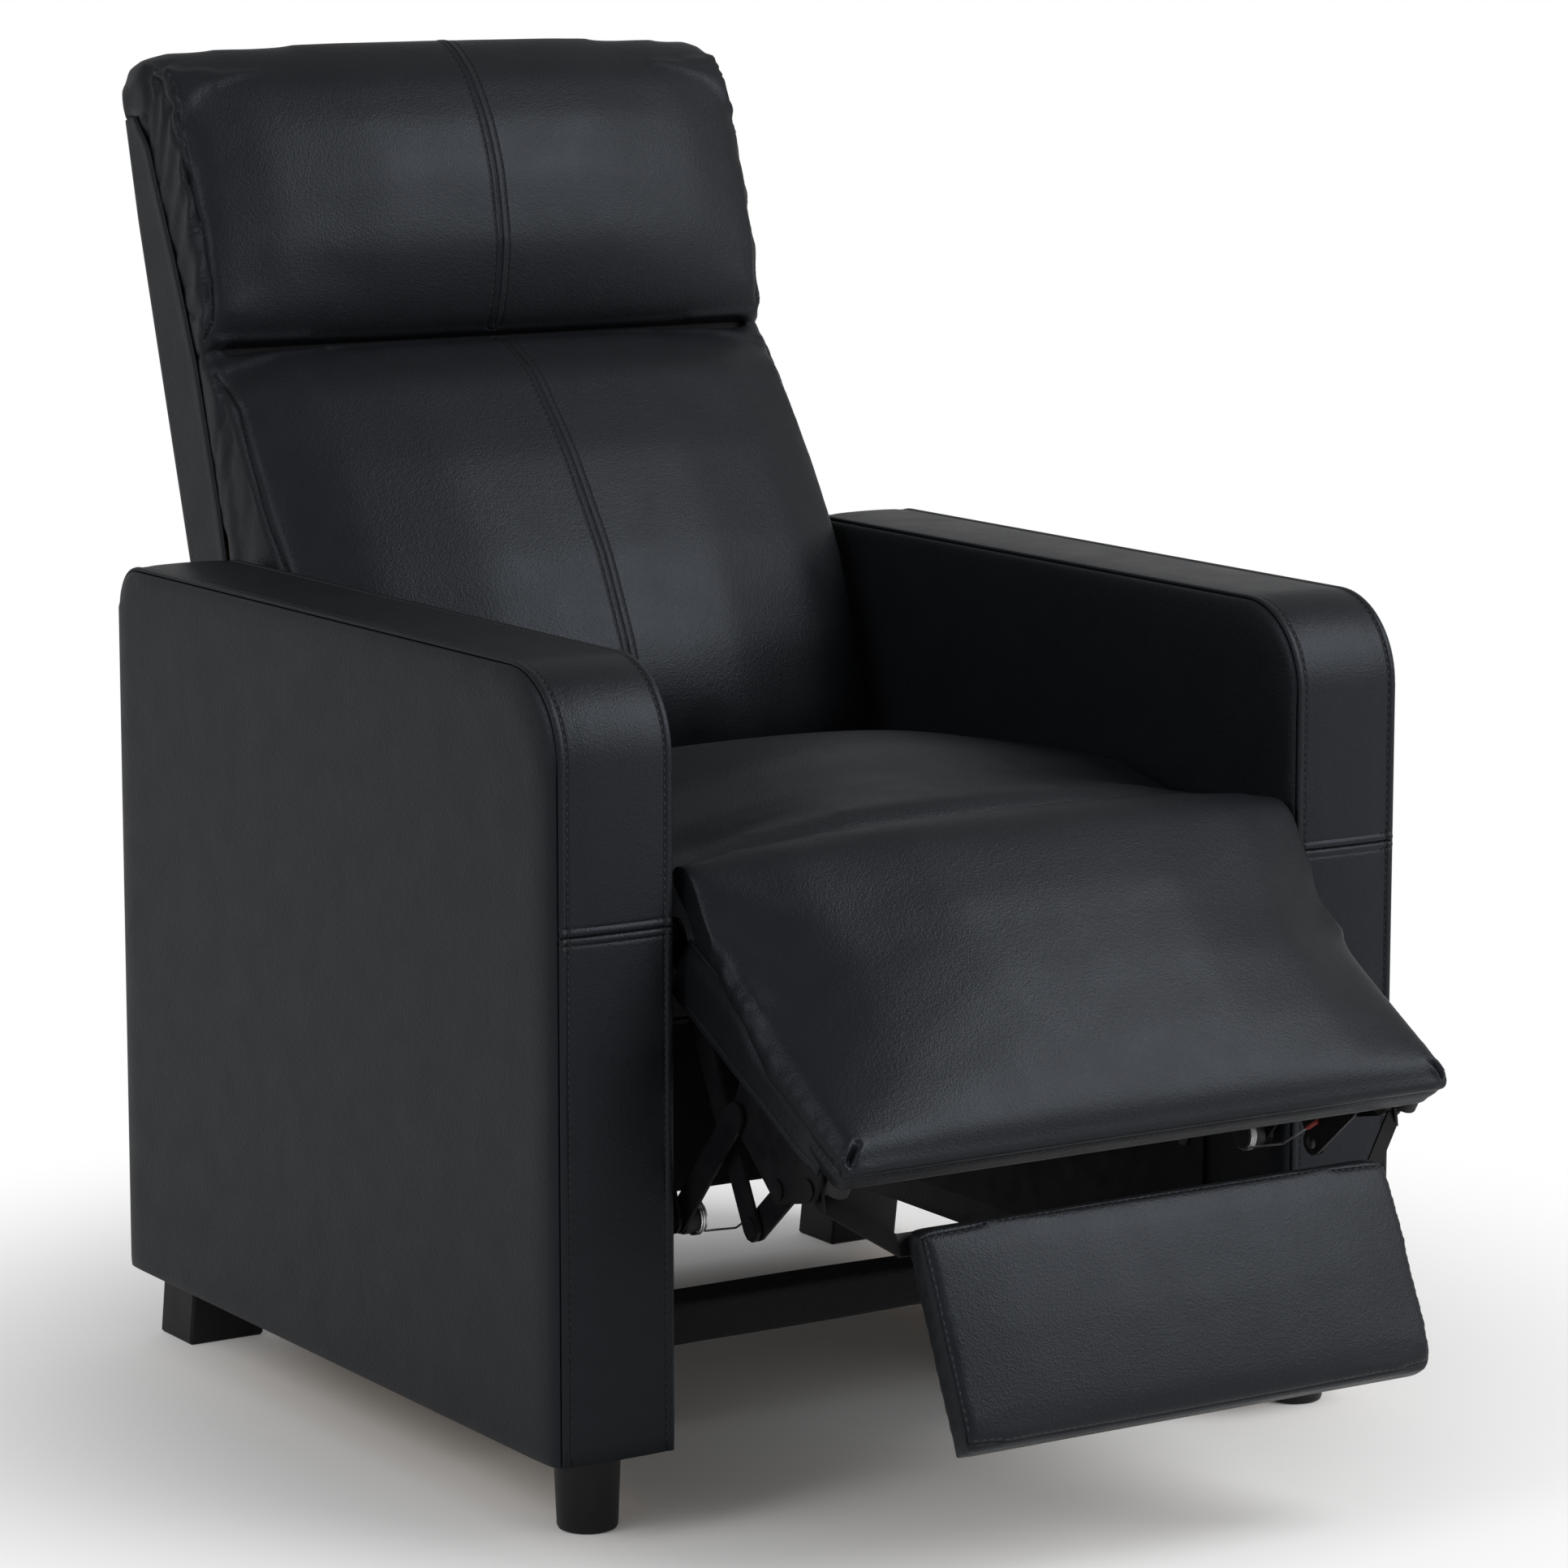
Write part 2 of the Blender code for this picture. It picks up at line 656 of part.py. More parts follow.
# Back cushions: a centre profile and a side profile, skinned across the chair
back_cross_shares = (-1, -0.93, -0.75, -0.4, 0, 0.4, 0.75, 0.93, 1)


def back_cushion(name, foot, height, depth, centre_shares, side_shares, rear_points):
    """A crowned pad whose front runs from its side profile to its centre profile."""
    rings = []
    for across in back_cross_shares:
        blend = 1 - abs(across) ** 3
        ring = []
        for (centre_out, centre_up), (side_out, side_up) in zip(centre_shares, side_shares):
            out = side_out + (centre_out - side_out) * blend
            up = side_up + (centre_up - side_up) * blend
            ring.append((across * back_half, back_front - out * depth, foot + up * height))
        ring += [(across * back_half, y, z) for y, z in rear_points]
        rings.append(ring)
    bm = bmesh.new()
    loft(bm, rings)
    return add(name, bm, "back", leather_colour, 0.4, local=True)


lumbar_centre_shares = ((0.93, 0), (1, 0.10), (0.99, 0.28), (0.90, 0.49), (0.69, 0.715),
                        (0.44, 0.90), (0.18, 1))
lumbar_side_shares = ((0.60, 0.02), (0.66, 0.10), (0.65, 0.28), (0.585, 0.49), (0.40, 0.715),
                      (0.23, 0.90), (0.05, 0.985))
back_cushion("lumbar_cushion", lumbar_foot, lumbar_height, lumbar_depth,
             lumbar_centre_shares, lumbar_side_shares,
             [(back_front, lumbar_foot + lumbar_height), (back_front, back_side_foot)])

pillow_centre_shares = ((0.32, 0.013), (0.64, 0.128), (0.93, 0.27), (1, 0.50), (0.88, 0.68),
                        (0.59, 0.83), (0.20, 0.94), (-0.12, 1))
pillow_side_shares = ((0.30, 0.025), (0.46, 0.10), (0.49, 0.30), (0.42, 0.50), (0.28, 0.66),
                      (0.12, 0.79), (-0.10, 0.87), (-0.51, 0.94))
flap_front = back_rear - back_panel_wall
flap_foot = back_panel_top + seat_fit
rail_clear = stile_top + 4 * seat_fit
back_cushion("head_pillow", pillow_foot, pillow_height, pillow_depth,
             pillow_centre_shares, pillow_side_shares,
             [(pillow_rear - panel_round, pillow_foot + 0.95 * pillow_height),
              (pillow_rear, rail_clear + 2 * panel_round), (pillow_rear, flap_foot),
              (flap_front, flap_foot), (flap_front, rail_clear), (back_front, rail_clear),
              (back_front, pillow_foot)])


# Leg pad, built flat along its board: y runs back along the board, z square to it
def pad_point(point):
    """A side-view point in the leg pad's own frame."""
    placed = bodies["footrest"][1].inverted() @ Vector((0, *point))
    return placed.y, placed.z


board_top = pad_seat - seat_fit
board_under = board_top - pad_board_wall
bm = bmesh.new()
plan = [(-pad_board_half, -pad_board_end), (pad_board_half, -pad_board_end),
        (pad_board_half, -pad_board_notch), (pad_board_notch_half, -pad_board_notch),
        (pad_board_notch_half, -pad_board_start), (-pad_board_notch_half, -pad_board_start),
        (-pad_board_notch_half, -pad_board_notch), (-pad_board_half, -pad_board_notch)]
face = bm.faces.new([bm.verts.new((x, y, board_under)) for x, y in plan])
board = bmesh.ops.extrude_face_region(bm, geom=[face], use_keep_orig=True)
lifted = [item for item in board["geom"] if isinstance(item, bmesh.types.BMVert)]
bmesh.ops.translate(bm, verts=lifted, vec=(0, 0, pad_board_wall))
add("footrest_board", bm, "footrest", wood_colour, 0.8, local=True)

# Each row: share of the pad's length, of its half width, of the crown at the middle and at the
# side (both above the pad's side line), and of the underside's rise above the board
pad_shares = ((-0.125, 0.93, 0.60, 0.50, 0.95), (-0.090, 0.97, 0.86, 0.60, 0.72),
              (-0.02, 1, 0.985, 0.55, 0.46), (0.06, 1, 1, 0.44, 0.26), (0.145, 1, 0.98, 0.30, 0.06),
              (0.30, 1, 0.93, 0.10, 0), (0.36, 1, 0.88, 0.06, 0), (0.55, 1, 0.66, 0.03, 0),
              (0.75, 1, 0.38, 0.01, 0), (0.90, 1, 0.15, 0, 0), (0.97, 0.995, 0.02, -0.02, 0),
              (1, 0.985, -0.12, -0.14, 0.12))
crown_range = pad_crown - pad_side_drop
wing_slope = 1.3
rings = []
for along, across, middle, edge, lift in pad_shares:
    half = across * pad_half
    low_half = across * (pad_rear_half if along < pad_board_notch / pad_front else pad_half)
    side_top = pad_side_drop + edge * crown_range
    crown = pad_side_drop + middle * crown_range
    under = pad_seat + lift * (pad_side_drop + 0.5 * crown_range - pad_seat)
    wing = min(pad_wing_wall, (side_top - under) / 2)
    ring = [(-low_half, -along * pad_front, under),
            (-low_half, -along * pad_front, side_top - wing_slope * wing),
            (-half, -along * pad_front, side_top - wing), (-half, -along * pad_front, side_top)]
    for share in cross_shares:
        ring.append((share * half, -along * pad_front,
                     side_top + (crown - side_top) * (1 - abs(share) ** 3)))
    ring += [(half, -along * pad_front, side_top), (half, -along * pad_front, side_top - wing),
             (low_half, -along * pad_front, side_top - wing_slope * wing),
             (low_half, -along * pad_front, under)]
    rings.append(ring)
bm = bmesh.new()
loft(bm, rings)
add("footrest_pad", bm, "footrest", leather_colour, 0.4, local=True)

# Leg pad brackets: a web in the third layer with a flange under the board
local_pad_pivot = pad_point(pad_pivot)
local_rear_pivot = pad_point(rear_pad_pivot)
local_lower_pivot = pad_point(lower_pad_pivot)
web_top = board_under - seat_fit
tube_centre = ((local_pad_pivot[0] + local_rear_pivot[0]) / 2, board_under - 2 * boss_half)
bracket_outline = ([(local_rear_pivot[0] + boss_half, web_top)]
                   + arc(local_rear_pivot, boss_half, 0, -70)
                   + arc(local_pad_pivot, boss_half, -60, -120)
                   + arc(local_lower_pivot, boss_half, -110, -190)
                   + [(local_lower_pivot[0] - boss_half, web_top)])
for side, label in ((-1, "left"), (1, "right")):
    inner, outer = layer(3)
    bm = bmesh.new()
    prism(bm, bracket_outline, side * inner, side * outer,
          [(*local_pad_pivot, hole), (*local_rear_pivot, hole), (*local_lower_pivot, hole)])
    bracket = add(f"{label}_footrest_bracket", bm, "footrest", steel_colour, 0.5, 0.8, local=True)
    bm = bmesh.new()
    block(bm, (side * (inner - seat_flange_width), local_lower_pivot[0] - boss_half + bar_gap,
               web_top - bar_wall),
          (side * (inner + bar_wall / 2), local_rear_pivot[0] + bar_gap, web_top))
    unite(bracket, f"{label}_footrest_flange", bm, "footrest", local=True)

bm = bmesh.new()
tube_end = layer(3)[0] - seat_fit
core = cross_tube_radius - cross_tube_wall
lathe(bm, [(-tube_end, core), (-tube_end, cross_tube_radius), (tube_end, cross_tube_radius),
           (tube_end, core), (-tube_end, core)], tube_centre)
add("footrest_cross_tube", bm, "footrest", steel_colour, 0.5, 0.8, local=True)

# Front cranks and couplers carry the leg pad from the seat plates
link("front_crank", "cranks", 4, crank_pivot, crank_foot, [(crank_pivot, 2, True)], [crank_foot])
link("front_coupler", "couplers", 5, crank_foot, pad_pivot,
     [(crank_foot, 4, True), (pad_pivot, 3, True)])

# Rear cranks and couplers steady it and cross the front ones
link("rear_crank", "rear_cranks", 1, rear_crank_pivot, rear_crank_foot,
     [(rear_crank_pivot, 2, True)], [rear_crank_foot])
link("rear_coupler", "rear_couplers", 2, rear_crank_foot, rear_pad_pivot,
     [(rear_crank_foot, 1, True), (rear_pad_pivot, 3, True)])


# Lower pad on its board, with a cranked bracket at each end
def lower_point(down, out):
    """A point given down the lower pad and out from its board, as a side-view point."""
    slope = lower_pad_slope
    y = lower_pad_top[0] - down * math.cos(slope) - out * math.sin(slope)
    z = lower_pad_top[1] - down * math.sin(slope) + out * math.cos(slope)
    return y, z


lower_shares = ((0, 0.985, -0.10, -0.10), (0.03, 1, 0.72, 0.72), (0.14, 1, 0.92, 1), (0.5, 1, 1, 1),
                (0.86, 1, 0.92, 1), (0.97, 1, 0.72, 0.72), (1, 0.985, -0.10, -0.10))
rings = []
for along, across, middle, edge in lower_shares:
    half = across * lower_pad_half
    down = along * lower_pad_length
    crown, side_face = middle * lower_pad_face, edge * lower_pad_side_face
    ring = [(-half, *lower_point(down, lower_pad_seat)), (-half, *lower_point(down, side_face))]
    for share in cross_shares:
        out = side_face + (crown - side_face) * (1 - abs(share) ** 3)
        ring.append((share * half, *lower_point(down, out)))
    ring += [(half, *lower_point(down, side_face)), (half, *lower_point(down, lower_pad_seat))]
    rings.append(ring)
bm = bmesh.new()
loft(bm, rings)
add("lower_pad", bm, "lower_pad", leather_colour, 0.4)

lower_board_face = lower_pad_seat - seat_fit
lower_board_back = lower_board_face - lower_board_wall
board_half = lower_pad_half - lower_board_inset
bm = bmesh.new()
prism(bm, [lower_point(lower_board_inset, lower_board_face),
           lower_point(lower_pad_length - lower_board_inset, lower_board_face),
           lower_point(lower_pad_length - lower_board_inset, lower_board_back),
           lower_point(lower_board_inset, lower_board_back)], -board_half, board_half)
add("lower_pad_board", bm, "lower_pad", wood_colour, 0.8)

strap_face = lower_board_back - seat_fit
strap_back = strap_face - bar_wall
strap_end = strap_start + strap_width
strap_section = [lower_point(strap_start, strap_back), lower_point(strap_end, strap_back),
                 lower_point(strap_end, strap_face), lower_point(strap_start, strap_face)]
rise = [lower_pad_pivot[axis] + lug_drop[axis] - sum(point[axis] for point in strap_section) / 4
        for axis in (0, 1)]
lug_section = [(y + rise[0], z + rise[1]) for y, z in strap_section]
for side, label in ((-1, "left"), (1, "right")):
    inner, outer = layer(4)
    bm = bmesh.new()
    prism(bm, arc(lower_pad_pivot, boss_half, 150, -30) + lug_section[1:3], side * inner, side * outer)
    bracket = add(f"{label}_lower_pad_bracket", bm, "lower_pad", steel_colour, 0.5, 0.8)
    bm = bmesh.new()
    rivet(bm, side, lower_pad_pivot, 4, 3)
    stations = ((inner + bar_wall / 2, lug_section), (lower_pad_half + bar_gap, strap_section),
                (strap_reach, strap_section))
    loft(bm, [[(side * x, *point) for point in section] for x, section in stations])
    unite(bracket, f"{label}_lower_pad_strap", bm, "lower_pad")

# Stand the chair on the middle of its own outline: shift every pivot back or forward
bpy.context.view_layer.update()
reach = []
for piece in bpy.data.objects:
    if piece.type in {"MESH", "CURVE"} and not piece.hide_render:
        reach += [(piece.matrix_world @ Vector(corner)).y for corner in piece.bound_box]
middle_y = (min(reach) + max(reach)) / 2
for pivot, matrix in bodies.values():
    pivot.location.y -= middle_y
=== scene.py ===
import json
import math

import bmesh
import bpy
import numpy as np
from mathutils import Matrix, Vector
from mathutils.bvhtree import BVHTree
from mathutils.kdtree import KDTree


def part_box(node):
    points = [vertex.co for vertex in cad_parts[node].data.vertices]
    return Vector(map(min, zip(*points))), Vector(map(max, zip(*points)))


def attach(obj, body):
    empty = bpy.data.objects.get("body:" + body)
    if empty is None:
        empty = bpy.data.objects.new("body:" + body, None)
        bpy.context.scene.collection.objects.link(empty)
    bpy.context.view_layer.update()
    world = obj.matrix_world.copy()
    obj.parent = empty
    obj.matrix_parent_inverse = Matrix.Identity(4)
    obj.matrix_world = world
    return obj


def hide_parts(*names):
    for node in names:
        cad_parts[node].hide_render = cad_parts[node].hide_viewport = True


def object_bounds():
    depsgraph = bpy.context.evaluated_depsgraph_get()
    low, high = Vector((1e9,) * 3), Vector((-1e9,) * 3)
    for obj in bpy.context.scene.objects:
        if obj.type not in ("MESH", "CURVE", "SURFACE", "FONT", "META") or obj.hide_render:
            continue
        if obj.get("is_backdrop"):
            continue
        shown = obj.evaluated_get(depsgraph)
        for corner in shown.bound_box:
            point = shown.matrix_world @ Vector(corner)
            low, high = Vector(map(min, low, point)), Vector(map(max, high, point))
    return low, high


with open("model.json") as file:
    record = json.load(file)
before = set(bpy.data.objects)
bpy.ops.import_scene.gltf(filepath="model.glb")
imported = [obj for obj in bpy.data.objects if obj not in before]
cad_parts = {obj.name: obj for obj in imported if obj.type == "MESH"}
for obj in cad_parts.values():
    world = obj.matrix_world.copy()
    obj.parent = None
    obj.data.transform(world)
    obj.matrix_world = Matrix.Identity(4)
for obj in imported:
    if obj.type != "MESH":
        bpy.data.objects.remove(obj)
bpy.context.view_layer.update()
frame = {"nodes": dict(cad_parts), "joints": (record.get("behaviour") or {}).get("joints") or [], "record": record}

# Studio
# A pale seamless floor that turns white away from the chair, white air round it,
# three soft lamps, and the camera where the photographer stood.
scene = bpy.context.scene
front_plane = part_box("left_arm_band")[0].y
camera_place = (-2.239, front_plane - 3.261, 1.174)
camera_tilt, camera_turn = math.radians(80.4), math.radians(-32.3)
camera_lens, sensor = 130.43, 36
floor_radius, floor_sides = 6.0, 96
shadow_reach, white_reach = 0.30, 1.00
floor_grey, floor_roughness, floor_specular = 0.80, 0.9, 0.1
air_strength, gloss_share = 0.45, 0.20
backdrop_top, ceiling_from, ceiling_strength = 0.02, 0.40, 0.12

camera_data = bpy.data.cameras.new("camera")
camera_data.lens = camera_lens
camera_data.sensor_width = sensor
camera = bpy.data.objects.new("camera", camera_data)
camera.location = camera_place
camera.rotation_euler = (camera_tilt, 0, camera_turn)
scene.collection.objects.link(camera)
scene.camera = camera
scene.view_settings.view_transform = "Standard"


def node(tree, kind, operation=None, **inputs):
    """A shader node whose sockets are set to plain values or linked to other sockets."""
    made = tree.nodes.new(f"ShaderNode{kind}")
    if operation:
        made.operation = operation
    for name, value in inputs.items():
        place = int(name[1:]) if name[1:].isdigit() else name.replace("_", " ")
        if isinstance(value, bpy.types.NodeSocket):
            tree.links.new(value, made.inputs[place])
        else:
            made.inputs[place].default_value = value
    return made


def seen_light(tree):
    """1 for the camera's rays and a share of it in gloss and through glass."""
    path = node(tree, "LightPath")
    total = path.outputs["Is Camera Ray"]
    for kind in ("Is Glossy Ray", "Is Transmission Ray"):
        part = node(tree, "Math", "MULTIPLY", _0=path.outputs[kind], _1=gloss_share)
        total = node(tree, "Math", "MAXIMUM", _0=total, _1=part.outputs[0]).outputs[0]
    return total


air = bpy.data.worlds.new("studio_air")
air.use_nodes = True
scene.world = air
tree = air.node_tree
parts = node(tree, "SeparateXYZ", _0=node(tree, "TexCoord").outputs["Generated"])
overhead = node(tree, "MapRange", Value=parts.outputs["Z"], From_Min=backdrop_top, From_Max=ceiling_from,
                To_Min=1.0, To_Max=ceiling_strength)
overhead.interpolation_type = "SMOOTHSTEP"
backdrop = node(tree, "Math", "MAXIMUM", _0=overhead.outputs["Result"],
                _1=node(tree, "LightPath").outputs["Is Camera Ray"])
strength = node(tree, "MapRange", Value=seen_light(tree), To_Min=air_strength, To_Max=backdrop.outputs[0])
background = tree.nodes["Background"]
background.inputs["Color"].default_value = (1, 1, 1, 1)
tree.links.new(strength.outputs["Result"], background.inputs["Strength"])

bm = bmesh.new()
bmesh.ops.create_circle(bm, cap_ends=True, segments=floor_sides, radius=floor_radius)
floor_mesh = bpy.data.meshes.new("floor")
bm.to_mesh(floor_mesh)
bm.free()
floor = bpy.data.objects.new("floor", floor_mesh)
scene.collection.objects.link(floor)
floor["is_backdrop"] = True
floor_finish = bpy.data.materials.new("floor")
floor_finish.use_nodes = True
tree = floor_finish.node_tree
paint = tree.nodes["Principled BSDF"]
paint.inputs["Base Color"].default_value = (floor_grey, floor_grey, floor_grey, 1)
paint.inputs["Roughness"].default_value = floor_roughness
paint.inputs["Specular IOR Level"].default_value = floor_specular
reach = node(tree, "VectorMath", "LENGTH", _0=node(tree, "TexCoord").outputs["Object"])
fade = node(tree, "MapRange", Value=reach.outputs["Value"], From_Min=shadow_reach, From_Max=white_reach)
fade.interpolation_type = "SMOOTHSTEP"
seen = node(tree, "Math", "MULTIPLY", _0=seen_light(tree), _1=fade.outputs["Result"])
mix = node(tree, "MixShader", _0=seen.outputs[0], _1=paint.outputs[0],
           _2=node(tree, "Emission", Strength=1.0).outputs[0])
tree.links.new(mix.outputs[0], tree.nodes["Material Output"].inputs["Surface"])
floor_mesh.materials.append(floor_finish)

lamp_target = Vector((0, 0, 0.5))
lamps = {"key": ((2.0, -2.5, 2.0), (2.8, 2.4), 62), "overhead": ((1.8, -1.8, 3.1), (1.9, 1.7), 52),
         "side": ((-2.8, -0.5, 2.1), (1.8, 1.8), 30)}
for name, (spot, size, power) in lamps.items():
    lamp = bpy.data.lights.new(name, "AREA")
    lamp.shape = "ELLIPSE"
    lamp.size, lamp.size_y = size
    lamp.energy = power
    holder = bpy.data.objects.new(name, lamp)
    holder.location = spot
    holder.visible_camera = False
    holder.rotation_euler = (lamp_target - Vector(spot)).to_track_quat("-Z", "Y").to_euler()
    scene.collection.objects.link(holder)

# Legs
# Turned tapered feet at the front and raked blocks at the rear, moulded in matt black
# plastic with a fine spark-eroded grain, screwed up into the arms.
leg_sides = 64
foot_round, foot_taper = 0.003, 0.9
pattern_low, pattern_high = 0.3, 0.7


def look(name, colour, roughness, metallic=0.0, specular=0.5):
    """A finish with its node tree and shader, to which its patterns are then linked."""
    made = bpy.data.materials.new(name)
    made.use_nodes = True
    shader = made.node_tree.nodes["Principled BSDF"]
    shader.inputs["Base Color"].default_value = (*colour, 1)
    shader.inputs["Roughness"].default_value = roughness
    shader.inputs["Metallic"].default_value = metallic
    shader.inputs["Specular IOR Level"].default_value = specular
    return made, made.node_tree, shader


def pattern(tree, kind, scale, detail=2.0, output="Fac"):
    """A noise, cell or wave pattern on the piece's own place in the chair."""
    made = node(tree, kind, Vector=node(tree, "TexCoord").outputs["Object"], Scale=scale)
    if "Detail" in made.inputs:
        made.inputs["Detail"].default_value = detail
    return made.outputs[output]


def spread(tree, value, low, high):
    """Map a pattern's middle range to a low and a high value."""
    return node(tree, "MapRange", Value=value, From_Min=pattern_low, From_Max=pattern_high,
                To_Min=low, To_Max=high).outputs["Result"]


def tint(tree, value, low, high):
    """Colours from low to high along a pattern."""
    made = node(tree, "ValToRGB", Fac=value)
    for stop, place, colour in zip(made.color_ramp.elements, (pattern_low, pattern_high), (low, high)):
        stop.position = place
        stop.color = (*colour, 1)
    return made.outputs["Color"]


def relief(tree, shader, layers):
    """Stack bumps, each from a pattern with its height in metres and its strength."""
    normal = None
    for value, height, strength in layers:
        made = node(tree, "Bump", Height=value, Distance=height, Strength=strength)
        if normal:
            tree.links.new(normal, made.inputs["Normal"])
        normal = made.outputs["Normal"]
    tree.links.new(normal, shader.inputs["Normal"])


def coat(name, finish):
    """Give one of the frame's own solids its finish."""
    slots = frame["nodes"][name].data.materials
    slots.clear()
    slots.append(finish)


def piece_of(name, bm, body, finish, sharp=40, turned=True):
    """Make a named object of a bmesh whose points are already in place, and let it ride."""
    if turned:
        bmesh.ops.recalc_face_normals(bm, faces=bm.faces)
    mesh = bpy.data.meshes.new(name)
    bm.to_mesh(mesh)
    bm.free()
    mesh.materials.append(finish)
    mesh.shade_smooth()
    mesh.set_sharp_from_angle(angle=math.radians(sharp))
    made = bpy.data.objects.new(name, mesh)
    scene.collection.objects.link(made)
    if body:
        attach(made, body)
    return made


plastic, tree, shader = look("leg_plastic", (0.006, 0.006, 0.007), 0.46, specular=0.25)
tree.links.new(tint(tree, pattern(tree, "TexNoise", 40), (0.005, 0.005, 0.006),
                    (0.008, 0.008, 0.009)), shader.inputs["Base Color"])
tree.links.new(spread(tree, pattern(tree, "TexNoise", 25), 0.40, 0.54),
               shader.inputs["Roughness"])
relief(tree, shader, [(pattern(tree, "TexNoise", 1500), 0.0002, 0.25)])

for side in ("left", "right"):
    low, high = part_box(f"{side}_front_leg")
    centre = (low + high) / 2
    top_radius = (high.x - low.x) / 2
    foot_radius = top_radius * foot_taper
    profile = [(0, 0), (foot_radius - foot_round, 0), (foot_radius - 0.3 * foot_round, 0.3 * foot_round),
               (foot_radius, foot_round), (top_radius, high.z), (0, high.z)]
    bm = bmesh.new()
    verts = [bm.verts.new((centre.x + radius, centre.y, z)) for radius, z in profile]
    edges = [bm.edges.new(pair) for pair in zip(verts, verts[1:])]
    bmesh.ops.spin(bm, geom=verts + edges, cent=centre, axis=(0, 0, 1), angle=2 * math.pi,
                   steps=leg_sides, use_merge=True)
    bmesh.ops.remove_doubles(bm, verts=bm.verts, dist=1e-6)
    leg = piece_of(f"{side}_front_leg_turned", bm, "base", plastic)
    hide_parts(f"{side}_front_leg")
    coat(f"{side}_rear_leg", plastic)

# Wooden frames
# The posts and rails inside the arms, the seat and the back: sawn softwood and board,
# stapled together, with the grain along the longest side.
wood, tree, shader = look("sawn_wood", (0.48, 0.33, 0.19), 0.75)
along = node(tree, "Mapping", Vector=node(tree, "TexCoord").outputs["Object"], Scale=(3, 26, 26))
grain = node(tree, "TexNoise", Vector=along.outputs["Vector"], Scale=6, Detail=6)
tree.links.new(tint(tree, grain.outputs["Fac"], (0.36, 0.23, 0.12), (0.58, 0.42, 0.26)),
               shader.inputs["Base Color"])
relief(tree, shader, [(grain.outputs["Fac"], 0.0006, 0.4)])
wooden = [f"{side}_arm_{part}" for side in ("left", "right")
          for part in ("front_post", "rear_post", "top_rail", "bottom_rail")]
wooden += ["seat_rear_rail", "left_back_stile", "right_back_stile", "back_top_rail",
           "back_bottom_rail", "footrest_board", "lower_pad_board"]
for name in wooden:
    coat(name, wood)

# Arms
# Each arm is a wooden box in black faux leather: an outer and an inner panel over thin
# foam, sewn to one band that runs up the front, over the top and down the rear.
lip_round = 0.0015
lip_reach = 0.0036
panel_swell = 0.0030
swell_reach = 0.028
band_swell = 0.0012
cover_wall = 0.0025
topstitch_in = 0.0085
cross_seam_z = 0.431
cross_stitch = 0.0060
leather_dark, leather_light = (0.0054, 0.0061, 0.0074), (0.0064, 0.0072, 0.0087)

leather, tree, shader = look("black_faux_leather", leather_dark, 0.40, specular=0.20)
shader.inputs["Specular Tint"].default_value = (0.80, 0.88, 1.0, 1)
tree.links.new(tint(tree, pattern(tree, "TexNoise", 40, 4), leather_dark, leather_light),
               shader.inputs["Base Color"])
tree.links.new(spread(tree, pattern(tree, "TexNoise", 30, 4), 0.37, 0.43),
               shader.inputs["Roughness"])
pebble = pattern(tree, "TexVoronoi", 620, output="Distance")
creases = pattern(tree, "TexNoise", 260, 4)
waves = pattern(tree, "TexNoise", 16, 2)
relief(tree, shader, [(waves, 0.004, 0.04), (creases, 0.0006, 0.34), (pebble, 0.0004, 0.42)])

thread, tree, shader = look("black_thread", (0.010, 0.010, 0.011), 0.55)
tree.links.new(tint(tree, pattern(tree, "TexNoise", 800), (0.006, 0.006, 0.007),
                    (0.016, 0.016, 0.018)), shader.inputs["Base Color"])
relief(tree, shader, [(pattern(tree, "TexWave", 900, output="Fac"), 0.0003, 0.5)])


def grid(columns, rows):
    """A bmesh grid whose points carry their column and row sizes as x and y."""
    bm = bmesh.new()
    bmesh.ops.create_grid(bm, x_segments=len(columns) - 1, y_segments=len(rows) - 1, size=0.5)
    for vert in bm.verts:
        vert.co.x = columns[round((vert.co.x + 0.5) * (len(columns) - 1))]
        vert.co.y = rows[round((vert.co.y + 0.5) * (len(rows) - 1))]
    return bm


def thicken(piece, way, wall):
    """Turn a skin's faces to look a given way, then give it its wall, inwards."""
    middle = piece.data.polygons[len(piece.data.polygons) // 2]
    if middle.normal.dot(Vector(way)) < 0:
        piece.data.flip_normals()
    made = piece.modifiers.new("wall", "SOLIDIFY")
    made.thickness = wall
    made.offset = -1


def dip(distance, width):
    """A soft groove's depth share at a distance from its line."""
    return math.exp(-(distance / width) ** 2)


def ease(share):
    """A quarter-round rise from 0 to 1, level at its end."""
    share = min(max(share, 0), 1)
    return math.sqrt(1 - (1 - share) ** 2)


def stitches(name, lines, body, pitch=0.0058, length=0.0043, thick=0.0012):
    """Rows of short threads along lines of (place, outward) pairs."""
    bm = bmesh.new()
    for line in lines:
        travel = pitch / 2
        for (start, out), (end, _) in zip(line, line[1:]):
            step = end - start
            while travel < step.length:
                heading = step.normalized()
                across = out.cross(heading).normalized()
                level = heading.cross(across)
                turn = Matrix((heading * length / 2, across * thick / 2, level * thick * 0.4)).transposed()
                put = Matrix.Translation(start + heading * travel) @ turn.to_4x4()
                bmesh.ops.create_icosphere(bm, subdivisions=1, radius=1, matrix=put)
                travel += pitch
            travel -= step.length
    return piece_of(name, bm, body, thread, sharp=60)


